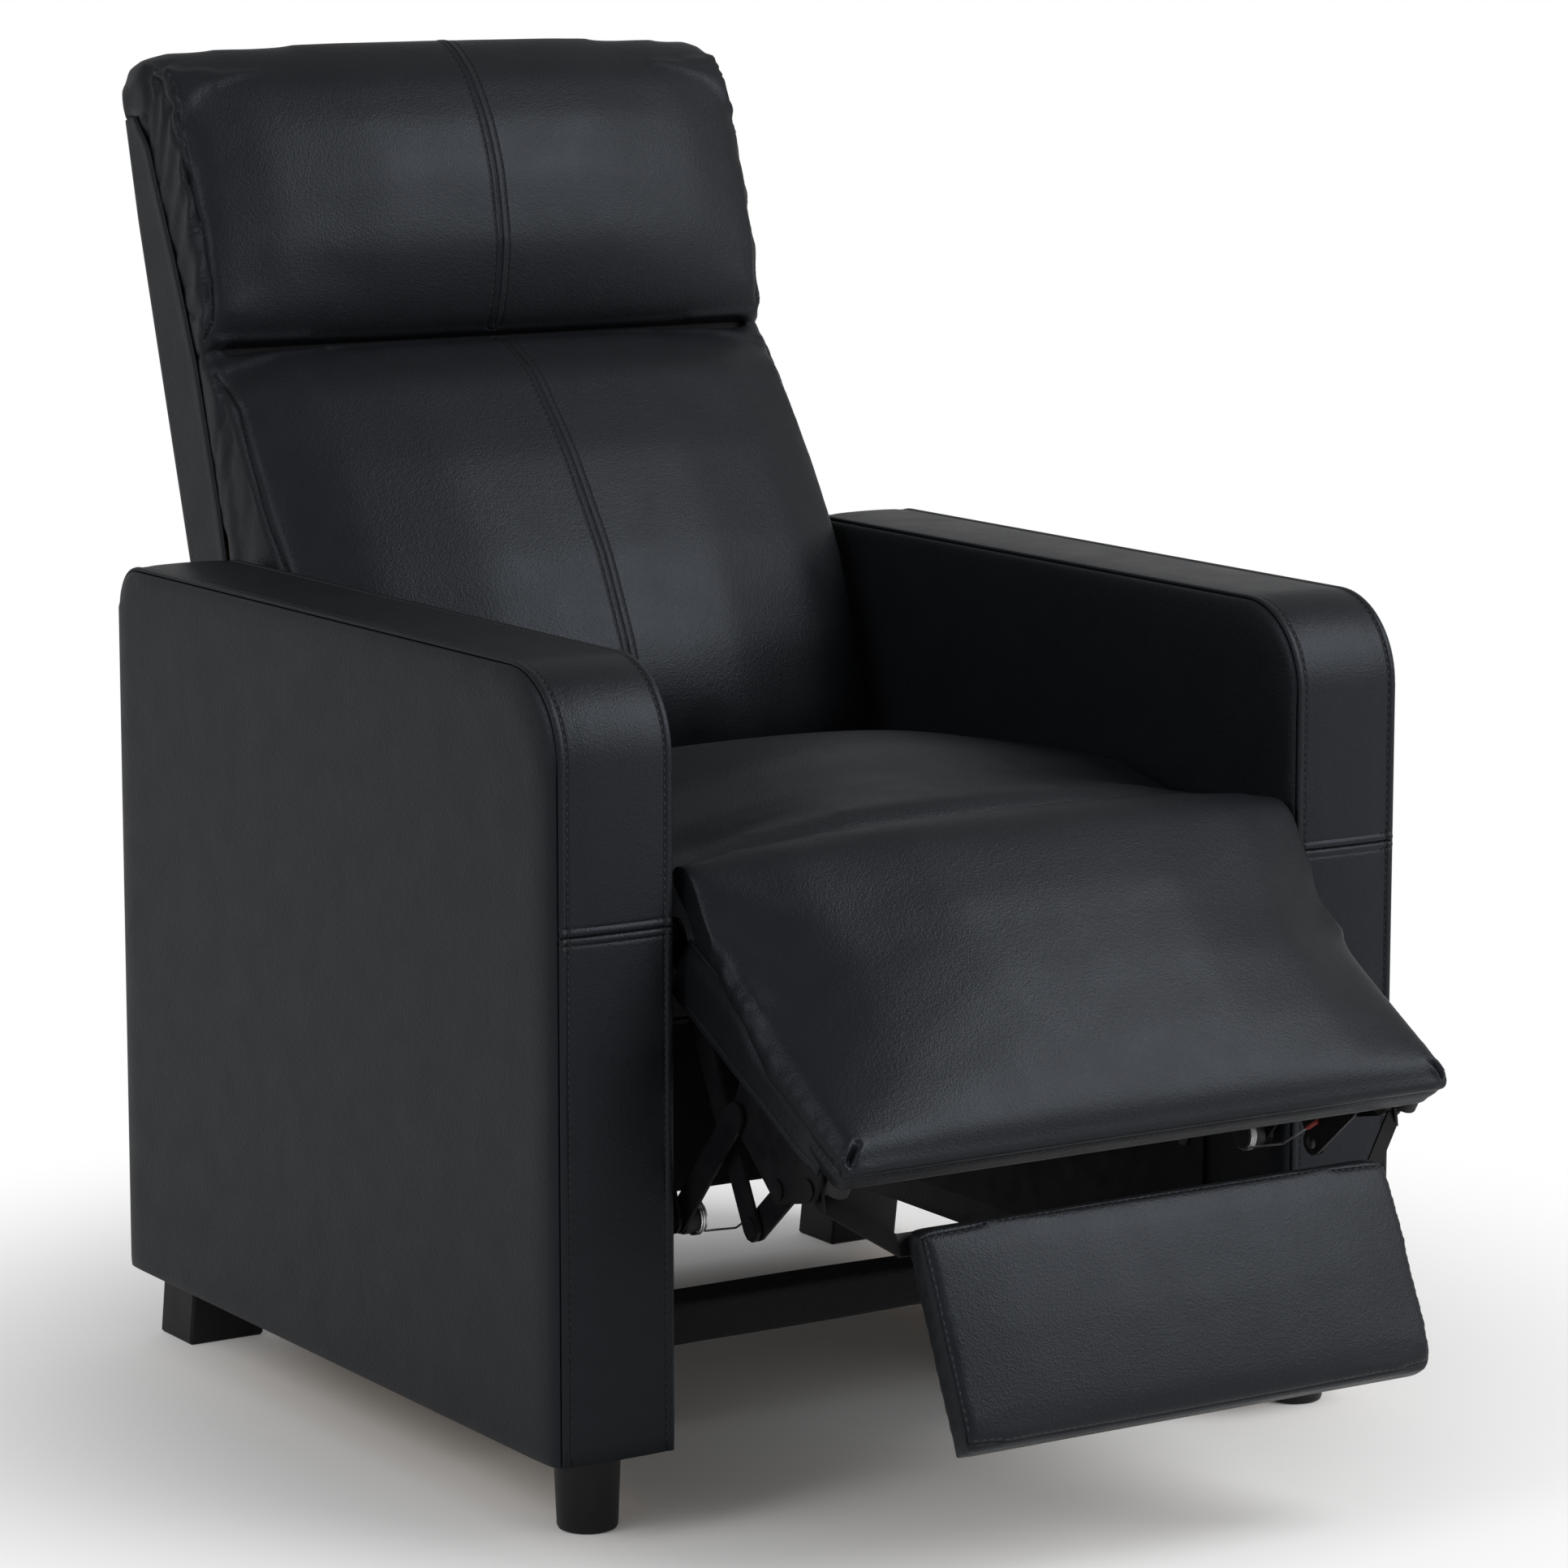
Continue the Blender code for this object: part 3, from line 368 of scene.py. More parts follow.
class ArmOutline:
    """The arm's outline seen from the side, by distance from its front foot."""

    def __init__(self, low, high, front_round, rear_round):
        self.low, self.high = low, high
        self.front_round, self.rear_round = front_round, rear_round
        self.runs = (high.z - low.z - front_round, front_round * math.pi / 2,
                     high.y - low.y - front_round - rear_round, rear_round * math.pi / 2,
                     high.z - low.z - rear_round)

    def at(self, travel):
        """Place and outward direction in the side view."""
        low, high, runs = self.low, self.high, self.runs
        if travel < runs[0]:
            return Vector((low.y, low.z + travel)), Vector((-1, 0))
        travel -= runs[0]
        if travel < runs[1]:
            out = Vector((-math.cos(travel / self.front_round), math.sin(travel / self.front_round)))
            return Vector((low.y + self.front_round, high.z - self.front_round)) + out * self.front_round, out
        travel -= runs[1]
        if travel < runs[2]:
            return Vector((low.y + self.front_round + travel, high.z)), Vector((0, 1))
        travel -= runs[2]
        if travel < runs[3]:
            out = Vector((math.sin(travel / self.rear_round), math.cos(travel / self.rear_round)))
            return Vector((high.y - self.rear_round, high.z - self.rear_round)) + out * self.rear_round, out
        travel -= runs[3]
        return Vector((high.y, high.z - self.rear_round - travel)), Vector((1, 0))

    def inside(self, y, z):
        """Distance in from the front, top and rear edges, round corners included."""
        front, rear, top = y - self.low.y, self.high.y - y, self.high.z - z
        if front < self.front_round and top < self.front_round:
            front = top = self.front_round - math.hypot(self.front_round - front, self.front_round - top)
        if rear < self.rear_round and top < self.rear_round:
            rear = top = self.rear_round - math.hypot(self.rear_round - rear, self.rear_round - top)
        return front, top, rear


front_round, rear_round = 0.065, 0.030
seam_steps = (14, 11, 9, 7.5, 6.6, 6, 5.4, 4.5, 3.4, 2.2, 1.3, 0.6)
flat_across = (0.0045, 0.0055, 0.0065, 0.0074, 0.0080, 0.0085, 0.0090, 0.0096, 0.0106, 0.013,
               0.019, 0.028, 0.038)
edge_shares = (0, 0.0006, 0.002, 0.004, 0.007, 0.011, 0.016, 0.022, 0.03, 0.04, 0.052, 0.066, 0.08)
lip_angles = [math.radians(angle) for angle in (135, 112, 90, 66, 42, 20, 0)]
lip = [(lip_reach - lip_round * math.sin(angle), lip_round * (1 - math.cos(angle)))
       for angle in lip_angles]


def between(start, end, step):
    """Even stations from start to end, about a step apart."""
    count = max(1, round((end - start) / step))
    return [start + (end - start) * index / count for index in range(count + 1)]


for side, sign in (("left", -1), ("right", 1)):
    low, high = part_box(f"{side}_arm_band")
    inner = min(abs(low.x), abs(high.x)) + panel_swell
    outer = max(abs(low.x), abs(high.x)) - panel_swell / 2
    outline = ArmOutline(low, high, front_round, rear_round)
    width = outer - inner
    total = sum(outline.runs)
    seam_at = cross_seam_z - low.z
    near_seam = ([seam_at - offset * 0.001 for offset in seam_steps] + [seam_at]
                 + [seam_at + offset * 0.001 for offset in seam_steps[::-1]])
    along = (between(0, near_seam[0], 0.012)[:-1] + near_seam
             + between(near_seam[-1], outline.runs[0], 0.012)[1:-1]
             + between(outline.runs[0], sum(outline.runs[:2]), 0.005)[:-1]
             + between(sum(outline.runs[:2]), sum(outline.runs[:3]), 0.014)[:-1]
             + between(sum(outline.runs[:3]), sum(outline.runs[:4]), 0.004)[:-1]
             + between(sum(outline.runs[:4]), total, 0.014))
    count = len(lip) + len(flat_across)
    bm = grid(list(range(2 * count + 1)), along)
    for vert in bm.verts:
        index, travel = round(vert.co.x), vert.co.y
        near = min(index, 2 * count - index)
        if near < len(lip):
            reach, depth = lip[near]
        elif near < count:
            reach, depth = flat_across[near - len(lip)], 0
        else:
            reach, depth = width / 2, 0
        across = reach if index <= count else width - reach
        height = -depth
        if near >= len(lip):
            height += band_swell * ease((reach - 0.013) / 0.036)
        height += 0.0005 * dip(reach - 0.0055, 0.0022) - 0.0008 * dip(reach - topstitch_in, 0.0009)
        gap = abs(travel - seam_at)
        if gap < 0.014:
            height -= 0.0016 * dip(gap, 0.0007) + 0.0006 * dip(gap - cross_stitch, 0.0009)
            height += 0.0006 * dip(gap - 0.0030, 0.0016)
        place, out = outline.at(travel)
        vert.co = (sign * (inner + across), *(place + out * height))
    band = piece_of(f"{side}_arm_band_leather", bm, "base", leather, turned=False)
    thicken(band, (0, -1, 1), cover_wall)
    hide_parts(f"{side}_arm_band")

    lines = []
    for reach in (topstitch_in, width - topstitch_in):
        line = []
        for travel in between(0.006, total - 0.006, 0.006):
            place, out = outline.at(travel)
            line.append((Vector((sign * (inner + reach), *(place - out * 0.0004))), Vector((0, *out))))
        lines.append(line)
    for height in (-cross_stitch, cross_stitch):
        place, out = outline.at(seam_at + height)
        line = [(Vector((sign * (inner + reach), *(place - out * 0.0002))), Vector((0, *out)))
                for reach in between(0.0036, width - 0.0036, 0.005)]
        lines.append(line)
    stitches(f"{side}_arm_topstitching", lines, "base")

    columns = [front_round * (1 - math.cos(math.pi / 2 * step / 14)) for step in range(15)]
    columns += between(front_round, high.y - low.y - rear_round, 0.012)[1:-1]
    columns += [high.y - low.y - rear_round * (1 - math.cos(math.pi / 2 * step / 10))
                for step in range(10, -1, -1)]
    rows = [*edge_shares, *between(0.08, 0.92, 0.02)[1:-1], *(1 - share for share in edge_shares[::-1])]
    for part, face, facing in (("inner", inner, -sign), ("outer", outer, sign)):
        bm = grid(columns, rows)
        lift = panel_swell if part == "inner" else 1.5 * panel_swell
        for vert in bm.verts:
            y = low.y + vert.co.x
            top = high.z
            for gone, rounding in ((vert.co.x, front_round), (high.y - y, rear_round)):
                if gone < rounding:
                    top -= rounding - math.sqrt(max(rounding ** 2 - (rounding - gone) ** 2, 0))
            z = low.z + vert.co.y * (top - low.z)
            front, over, behind = outline.inside(y, z)
            edge = max(min(front, over, behind), 0)
            seam = lip_reach - lip_round * math.sin(lip_angles[0])
            under = z - low.z
            swell = ease(front / swell_reach) * ease(over / swell_reach) * ease(behind / swell_reach)
            swell *= ease((under + 0.004) / (0.5 * swell_reach))
            sink = lip_round * 1.7 * (1 - ease(edge / (2 * lip_reach)))
            squeeze = seam * (1 - min(edge / (2 * swell_reach), 1))
            if edge < front_round and front == over:
                inward = Vector((low.y + front_round - y, high.z - front_round - z)).normalized()
            elif edge < rear_round and behind == over:
                inward = Vector((high.y - rear_round - y, high.z - rear_round - z)).normalized()
            elif edge == front:
                inward = Vector((1, 0))
            elif edge == behind:
                inward = Vector((-1, 0))
            else:
                inward = Vector((0, -1 if edge == over else 0))
            spot = Vector((y, z)) + inward * squeeze
            out = face + (facing * sign) * (lift * swell - sink)
            vert.co = (sign * out, *spot)
        panel = piece_of(f"{side}_arm_{part}_leather", bm, "base", leather,
                         turned=False)
        thicken(panel, (facing, 0, 0), cover_wall)
        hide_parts(f"{side}_arm_{part}_panel")

# Rail and apron
# Softwood rails between the arms, wrapped in black upholstery base cloth with a plain
# open weave; the same cloth is the dust cover under the springs and webs the back.
cloth, tree, shader = look("black_base_cloth", (0.007, 0.007, 0.008), 0.85, specular=0.2)
where = node(tree, "TexCoord").outputs["Object"]
threads = []
for turn in (45, -45):
    lay = node(tree, "Mapping", Vector=where, Rotation=(0, math.radians(turn), 0))
    threads.append(node(tree, "TexWave", Vector=lay.outputs["Vector"], Scale=170).outputs["Fac"])
cross = node(tree, "Math", "MAXIMUM", _0=threads[0], _1=threads[1])
tree.links.new(tint(tree, cross.outputs[0], (0.003, 0.003, 0.004), (0.011, 0.011, 0.013)),
               shader.inputs["Base Color"])
relief(tree, shader, [(cross.outputs[0], 0.0008, 0.6), (pattern(tree, "TexNoise", 30), 0.003, 0.2)])
for name, body in (("front_rail", "base"), ("rear_apron", "base"), ("seat_front_rail", "seat")):
    low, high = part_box(name)
    bm = bmesh.new()
    place = Matrix.Translation((low + high) / 2) @ Matrix.Diagonal((*(high - low), 1))
    bmesh.ops.create_cube(bm, size=1, matrix=place)
    long_edges = [edge for edge in bm.edges if abs(edge.verts[0].co.x - edge.verts[1].co.x) > 0.1]
    bmesh.ops.bevel(bm, geom=long_edges, offset=0.005, segments=4, profile=0.5, affect="EDGES",
                    material=-1)
    crossing = [edge for edge in bm.edges if abs(edge.verts[0].co.x - edge.verts[1].co.x) > 0.1]
    bmesh.ops.subdivide_edges(bm, edges=crossing, cuts=40, use_grid_fill=True)
    centre = (low + high) / 2
    for vert in bm.verts:
        pull = math.cos(vert.co.x * 9) * 0.0007 + math.sin(vert.co.x * 31 + 2) * 0.0003
        vert.co.z -= pull * (1 if vert.co.z > centre.z else -1)
    wrapped = piece_of(f"{name}_cloth", bm, body, cloth)
    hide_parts(name)
for name in ("seat_dust_cover", "back_webbing"):
    coat(name, cloth)

# Steel linkage
# Flat bars, plates and brackets pressed from mild steel and powder coated black, held
# together by shouldered rivets whose heads are burnished where the bars turn on them.
steel, tree, shader = look("black_coated_steel", (0.005, 0.005, 0.006), 0.42, specular=0.12)
tree.links.new(spread(tree, pattern(tree, "TexNoise", 60, 5), 0.30, 0.48),
               shader.inputs["Roughness"])
tree.links.new(tint(tree, pattern(tree, "TexNoise", 30, 4), (0.004, 0.004, 0.005),
                    (0.007, 0.007, 0.008)), shader.inputs["Base Color"])
relief(tree, shader, [(pattern(tree, "TexNoise", 900, 2), 0.0002, 0.2)])
wire_steel, tree, shader = look("spring_steel", (0.55, 0.55, 0.56), 0.3, 1.0)
tree.links.new(spread(tree, pattern(tree, "TexNoise", 90), 0.22, 0.42), shader.inputs["Roughness"])
for name in frame["nodes"]:
    if any(word in name for word in ("plate", "swing_link", "bracket", "crank", "coupler", "cross_tube")):
        coat(name, steel)
coat("seat_springs", wire_steel)

# Rivets and bolts
# Domed rivet heads at the linkage's pivots, burnished where the bars turn under them; the
# rear couplers' heads stay flush, since the front cranks pass them closely. Hex bolts hold
# each base plate to the arm's frame.
dome_radius, dome_height = 0.0050, 0.0020
bolt_radius, bolt_height, bolt_inset = 0.0075, 0.0016, 0.024
crosswise = Matrix.Rotation(math.pi / 2, 4, "Y")
joints = {joint["name"]: joint for joint in frame["joints"]}
pivots = {name: Vector(joint["pos_m"]) for name, joint in joints.items()}
pad_corner = pivots["footrest_fold"] - pivots["front_crank_hinge"]
pivots["front_pad_pivot"] = pivots["front_coupler_hinge"] + pad_corner
pivots["rear_pad_pivot"] = pivots["rear_coupler_hinge"] + pivots["footrest_fold"] - pivots["rear_crank_hinge"]
pivots["front_link_head"] = pivots["front_link_swing"] + pivots["seat_level"] - pivots["push_back"]
body_of = {name: body for body, names in frame["record"]["behaviour"]["bodies"].items() for name in names}


def shell_of(piece):
    """A piece's surface, for finding the nearest place on it or what a line meets."""
    return BVHTree.FromPolygons([vert.co for vert in piece.data.vertices],
                                [face.vertices for face in piece.data.polygons])


steel_shells = {}
for name, solid in frame["nodes"].items():
    if steel.name in solid.data.materials:
        steel_shells[name] = shell_of(solid)

burnished, tree, shader = look("burnished_rivet", (0.07, 0.07, 0.075), 0.36, 0.9)
tree.links.new(spread(tree, pattern(tree, "TexNoise", 300), 0.28, 0.46), shader.inputs["Roughness"])


def struck_first(side, spot):
    """The steel piece that a line out from the chair's middle meets first, and where."""
    hits = []
    for name, shell in steel_shells.items():
        found, _, _, gap = shell.ray_cast(Vector((0, spot.y, spot.z)), Vector((side, 0, 0)))
        if found:
            hits.append((gap, name, found))
    return min(hits)[1:] if hits else (None, None)


domes = {}
for pivot in pivots.values():
    for side in (-1, 1):
        name, spot = struck_first(side, pivot)
        if name and "rear_coupler" not in name:
            domes.setdefault(name, bmesh.new())
            bmesh.ops.create_uvsphere(
                domes[name], u_segments=12, v_segments=8, radius=1,
                matrix=Matrix.Translation(spot) @ Matrix.Diagonal((dome_height, dome_radius, dome_radius, 1)))
for name, bm in domes.items():
    piece_of(f"{name}_rivet_domes", bm, body_of[name], burnished)
for side, sign in (("left", -1), ("right", 1)):
    low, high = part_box(f"{side}_base_plate")
    face = low.x if sign > 0 else high.x
    bm = bmesh.new()
    for y in (low.y + bolt_inset, high.y - bolt_inset):
        for z in (low.z + bolt_inset, high.z - bolt_inset):
            put = Matrix.Translation((face - sign * bolt_height / 2, y, z)) @ crosswise
            bmesh.ops.create_cone(bm, cap_ends=True, segments=6, radius1=bolt_radius, radius2=bolt_radius,
                                  depth=bolt_height, matrix=put)
    piece_of(f"{side}_base_plate_bolts", bm, "base", burnished)

# Bushings and springs
# A black rubber bushing on each rear crank's foot with a thin spring wound on it, whose
# arm ends in a red vinyl sleeve, and a rubber stop beside each lower pad's pivot.
bushing_radius, bushing_length = 0.0110, 0.0160
rim_round = 0.0012
coil_radius, coil_turns, coil_steps, wire_radius = 0.0120, 3, 16, 0.0008
coil_from, coil_reach, coil_start = 0.0090, 0.0058, math.radians(225)
arm_bend, arm_tip = Vector((0, -0.050, 0.0025)), Vector((0, -0.091, 0.0275))
sleeve_length, sleeve_radius = 0.014, 0.0017
stop_radius, stop_length = 0.0085, 0.0065

rubber, tree, shader = look("black_rubber", (0.008, 0.008, 0.008), 0.6, specular=0.3)
tree.links.new(spread(tree, pattern(tree, "TexNoise", 200), 0.5, 0.7), shader.inputs["Roughness"])
red_vinyl, tree, shader = look("red_vinyl_sleeve", (0.30, 0.03, 0.02), 0.45)
tree.links.new(tint(tree, pattern(tree, "TexNoise", 120), (0.24, 0.02, 0.015), (0.36, 0.05, 0.03)),
               shader.inputs["Base Color"])


def tube(bm, path, radius, sides=8):
    """A round rod along a path of points, closed at both ends."""
    rings = []
    for index, spot in enumerate(path):
        along = path[min(index + 1, len(path) - 1)] - path[max(index - 1, 0)]
        turn = along.to_track_quat("Z", "Y").to_matrix().to_4x4()
        made = bmesh.ops.create_circle(bm, segments=sides, radius=radius,
                                       cap_ends=index in (0, len(path) - 1),
                                       matrix=Matrix.Translation(spot) @ turn)
        rings.append(list({edge for vert in made["verts"] for edge in vert.link_edges}))
    for near, far in zip(rings, rings[1:]):
        bmesh.ops.bridge_loops(bm, edges=near + far)


def turned(bm, spot, side, radius, length):
    """A round rubber part with softened rims, standing inwards from a place on the steel."""
    put = Matrix.Translation(spot - Vector((side * length / 2, 0, 0))) @ crosswise
    made = bmesh.ops.create_cone(bm, cap_ends=True, segments=28, radius1=radius, radius2=radius,
                                 depth=length, matrix=put)
    rims = {edge for vert in made["verts"] for edge in vert.link_edges
            if abs(edge.verts[0].co.x - edge.verts[1].co.x) < length / 2}
    bmesh.ops.bevel(bm, geom=list(rims), offset=rim_round, segments=3, profile=0.5, affect="EDGES",
                    material=-1)


for label, side in (("left", -1), ("right", 1)):
    name, spot = struck_first(side, pivots["rear_coupler_hinge"])
    body = body_of[name]
    bm = bmesh.new()
    turned(bm, spot, side, bushing_radius, bushing_length)
    piece_of(f"{label}_spring_bushing", bm, body, rubber)
    coil = []
    for step in range(coil_steps * coil_turns + 1):
        angle = coil_start + step * math.pi / (coil_steps / 2)
        coil.append(spot + Vector((-side * (coil_from + coil_reach * step / (coil_steps * coil_turns)),
                                   math.cos(angle) * coil_radius, math.sin(angle) * coil_radius)))
    bend, tip = (Vector((coil[-1].x, spot.y + way.y, spot.z + way.z)) for way in (arm_bend, arm_tip))
    bm = bmesh.new()
    tube(bm, coil + [coil[-1].lerp(bend, 0.5), bend, tip], wire_radius)
    piece_of(f"{label}_spring", bm, body, wire_steel)
    bm = bmesh.new()
    tube(bm, [tip - (tip - bend).normalized() * sleeve_length, tip], sleeve_radius, sides=12)
    piece_of(f"{label}_spring_sleeve", bm, body, red_vinyl)
    name, spot = struck_first(side, pivots["lower_pad_hinge"])
    bm = bmesh.new()
    turned(bm, spot, side, stop_radius, stop_length)
    piece_of(f"{label}_lower_pad_stop", bm, body_of[name], rubber)

# Seat cushion
# A foam block under one faux leather cover, crowned, with a thicker roll at the front;
# the cover is stapled under the seat and pulled down at the sides and at the crease.
cell = 0.006
sim_frames, pressure = 20, 4.0
most_swell, soften_passes = 0.022, 60
cushion_half = 0.2592


def applied(piece):
    """Bake a piece's modifiers into its mesh."""
    view = bpy.context.evaluated_depsgraph_get()
    mesh = bpy.data.meshes.new_from_object(piece.evaluated_get(view))
    piece.modifiers.clear()
    old = piece.data
    piece.data = mesh
    bpy.data.meshes.remove(old)


def places_of(piece):
    """A piece's points as one array."""
    spots = np.empty(len(piece.data.vertices) * 3, np.float32)
    piece.data.vertices.foreach_get("co", spots)
    return spots.reshape(-1, 3).astype(float)


def set_places(piece, spots):
    """Put a piece's points where an array says."""
    piece.data.vertices.foreach_set("co", spots.astype(np.float32).ravel())


def swollen(piece, kept):
    """Swell a cover as cloth over its foam, held at some points, and even out how far it moves."""
    pins = piece.vertex_groups.new(name="held")
    pins.add(kept, 1.0, "REPLACE")
    before = places_of(piece)
    swell = piece.modifiers.new("cover", "CLOTH")
    swell.settings.quality = 4
    swell.settings.mass = 0.3
    swell.settings.tension_stiffness = 18
    swell.settings.compression_stiffness = 4
    swell.settings.shear_stiffness = 6
    swell.settings.bending_stiffness = 30
    swell.settings.use_pressure = True
    swell.settings.uniform_pressure_force = pressure
    swell.settings.effector_weights.gravity = 0
    swell.settings.vertex_group_mass = "held"
    swell.collision_settings.use_collision = False
    for number in range(1, sim_frames + 1):
        scene.frame_set(number)
    applied(piece)
    move = places_of(piece) - before
    far = np.linalg.norm(move, axis=1, keepdims=True)
    move *= np.minimum(1, most_swell / np.maximum(far, 1e-9))
    ends = np.empty(len(piece.data.edges) * 2, np.int64)
    piece.data.edges.foreach_get("vertices", ends)
    near, other = np.concatenate((ends, ends.reshape(-1, 2)[:, ::-1].ravel())).reshape(-1, 2).T
    count = np.bincount(near, minlength=len(before))[:, None]
    for _ in range(soften_passes):
        around = [np.bincount(near, move[other, axis], len(before)) for axis in range(3)]
        move = (move + np.stack(around, 1) / count) / 2
    set_places(piece, before + move)
    scene.frame_set(1)


def stuffed(name, solid, held, passes, extra=None, shrink=0.002, half=cushion_half):
    """A cover over foam: the solid in even cells, smoothed, shrunk, swollen as cloth and refined."""
    bm = bmesh.new()
    bm.from_mesh(frame["nodes"][solid].data)
    bmesh.ops.remove_doubles(bm, verts=bm.verts, dist=1e-6)
    if extra:
        extra(bm)
    piece = piece_of(name, bm, None, leather, turned=False)
    cells = piece.modifiers.new("cells", "REMESH")
    cells.mode = "VOXEL"
    cells.voxel_size = cell
    applied(piece)
    bm = bmesh.new()
    bm.from_mesh(piece.data)
    bm.normal_update()
    pinned = [held(vert.co, vert.normal) for vert in bm.verts]
    loose = [vert for vert in bm.verts if not pinned[vert.index]]
    kept = [index for index, pin in enumerate(pinned) if pin]
    for _ in range(passes):
        bmesh.ops.smooth_vert(bm, verts=loose, factor=0.5, use_axis_x=True, use_axis_y=True,
                              use_axis_z=True)
    bm.normal_update()
    for vert in loose:
        vert.co -= vert.normal * shrink
    bm.to_mesh(piece.data)
    bm.free()
    swollen(piece, kept)
    finer = piece.modifiers.new("finer", "SUBSURF")
    finer.levels = finer.render_levels = 1
    applied(piece)
    spots = places_of(piece)
    spots[:, 0] = np.clip(spots[:, 0], -half, half)
    set_places(piece, spots)
    piece.data.materials.clear()
    piece.data.materials.append(leather)
    piece.data.shade_smooth()
    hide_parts(solid)
    return piece


class Seam:
    """A line sewn over a cushion, laid on its surface and sampled every millimetre."""

    def __init__(self, piece, points, step=0.001):
        surface = shell_of(piece)
        self.places, self.travels, self.outs = [], [], []
        travel = 0
        for near, far in zip(points, points[1:]):
            count = max(1, round((far - near).length / step))
            for index in range(count):
                spot, out, _, _ = surface.find_nearest(near.lerp(far, index / count))
                self.places.append(spot)
                self.outs.append(out)
                self.travels.append(travel + (far - near).length * index / count)
            travel += (far - near).length
        self.length = travel
        self.tree = KDTree(len(self.places))
        for index, spot in enumerate(self.places):
            self.tree.insert(spot, index)
        self.tree.balance()

    def near(self, place):
        """Distance to the seam and how far along it."""
        _, index, gap = self.tree.find(place)
        return gap, self.travels[index]

    def row(self, piece, offset, sink=0.0002, ends=0.004):
        """A stitch row beside the seam, as places with their outward directions."""
        surface = shell_of(piece)
        line = []
        for index in range(4, len(self.places) - 4, 4):
            if ends < self.travels[index] < self.length - ends:
                along = (self.places[index + 4] - self.places[index - 4]).normalized()
                across = self.outs[index].cross(along).normalized()
                spot, out, _, _ = surface.find_nearest(self.places[index] + across * offset)
                line.append((spot - out * sink, out))
        return line


def refine(piece, seams, reaches):
    """Split the faces near seams, once for each reach."""
    for reach in reaches:
        bm = bmesh.new()
        bm.from_mesh(piece.data)
        close = {vert for vert in bm.verts if min(seam.near(vert.co)[0] for seam in seams) < reach}
        edges = [edge for edge in bm.edges if edge.verts[0] in close and edge.verts[1] in close]
        bmesh.ops.subdivide_edges(bm, edges=edges, cuts=1, use_grid_fill=True)
        bm.to_mesh(piece.data)
        bm.free()


def carve(piece, depth):
    """Move each point along its normal by what depth(place) says."""
    spots = places_of(piece)
    turns = np.empty(len(spots) * 3, np.float32)
    piece.data.vertices.foreach_get("normal", turns)
    lifts = np.array([depth(vert.co) for vert in piece.data.vertices])
    spots += turns.reshape(-1, 3) * lifts[:, None]
    set_places(piece, spots)
    piece.data.update()


def valley(gap):
    """The section of a plain seam: a sharp narrow valley between two soft swells."""
    return -0.0016 * dip(gap, 0.0008) - 0.0008 * dip(gap, 0.003) + 0.0004 * dip(gap - 0.007, 0.004)


def gathers(gap, travel, folds, beside):
    """Folds that run slanting away from a seam, (travel, width, depth) each, longer in the gusset."""
    fade = math.exp(-gap / 0.040) if beside else math.exp(-gap / 0.014) * 0.4
    slanted = travel + (1.0 if beside else -0.25) * gap
    return -sum(deep * dip(slanted - spot, wide) for spot, wide, deep in folds) * fade


def smooth(share):
    """An even rise from 0 to 1."""
    share = min(max(share, 0), 1)
    return share * share * (3 - 2 * share)


def shaped(piece, place, move):
    """Shift a cushion's points, given and returned in a frame of their own."""
    back = place.inverted()
    for vert in piece.data.vertices:
        vert.co = place @ Vector(move(*(back @ vert.co)))
    piece.data.update()


seat_cover = stuffed("seat_cushion_cover", "seat_cushion",
                     held=lambda co, out: out.z < 0.15 or co.z < 0.425, passes=4)
crown_rise, crown_from, crown_peak, crown_end = 0.018, 0.085, 0.200, 0.460


def seat_crown(x, y, z):
    """The foam's crown: it swells up behind the front roll and falls away to the rear."""
    along = y - front_plane
    rise = smooth((along - crown_from) / (crown_peak - crown_from))
    rise *= 1 - 0.85 * smooth((along - crown_peak) / (crown_end - crown_peak))
    rise *= 1 - 0.25 * (x / cushion_half) ** 2
    return x, y, z + crown_rise * rise * smooth((z - 0.430) / 0.030)


shaped(seat_cover, Matrix.Identity(4), seat_crown)
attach(seat_cover, "seat")

# Back cover
# The back's outside: one faux leather panel pulled over the frame at the rear and round
# both edges, as far as the seams where the cushions' side gussets begin.
back_lean = math.radians(14.5)
back_place = Matrix.Translation(joints["back_recline"]["pos_m"]) @ Matrix.Rotation(-back_lean, 4, "X")
to_back = back_place.inverted()
back_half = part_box("back_cover")[1].x
back_rear = 0.0755
corner_round = 0.010
gusset_line = [(0.0085, 0.070), (0.0085, 0.360), (0.016, 0.475), (0.030, 0.560), (0.045, 0.629),
               (0.050, 0.657), (0.062, 0.6755), (0.066, 0.684)]
cover_foot, cover_top = 0.075, 0.684
flare, flare_from, flare_most = 0.048, 0.27, 0.016


def back_extra(up):
    """How much the back grows in depth towards its top."""
    return min(max(flare * (up - flare_from), 0), flare_most)


def curve_at(points, key, which=1, give=0):
    """Read a given line of points: one coordinate by the other."""
    for near, far in zip(points, points[1:]):
        if key <= far[which] or far is points[-1]:
            share = (key - near[which]) / (far[which] - near[which])
            return near[give] + (far[give] - near[give]) * min(max(share, 0), 1)


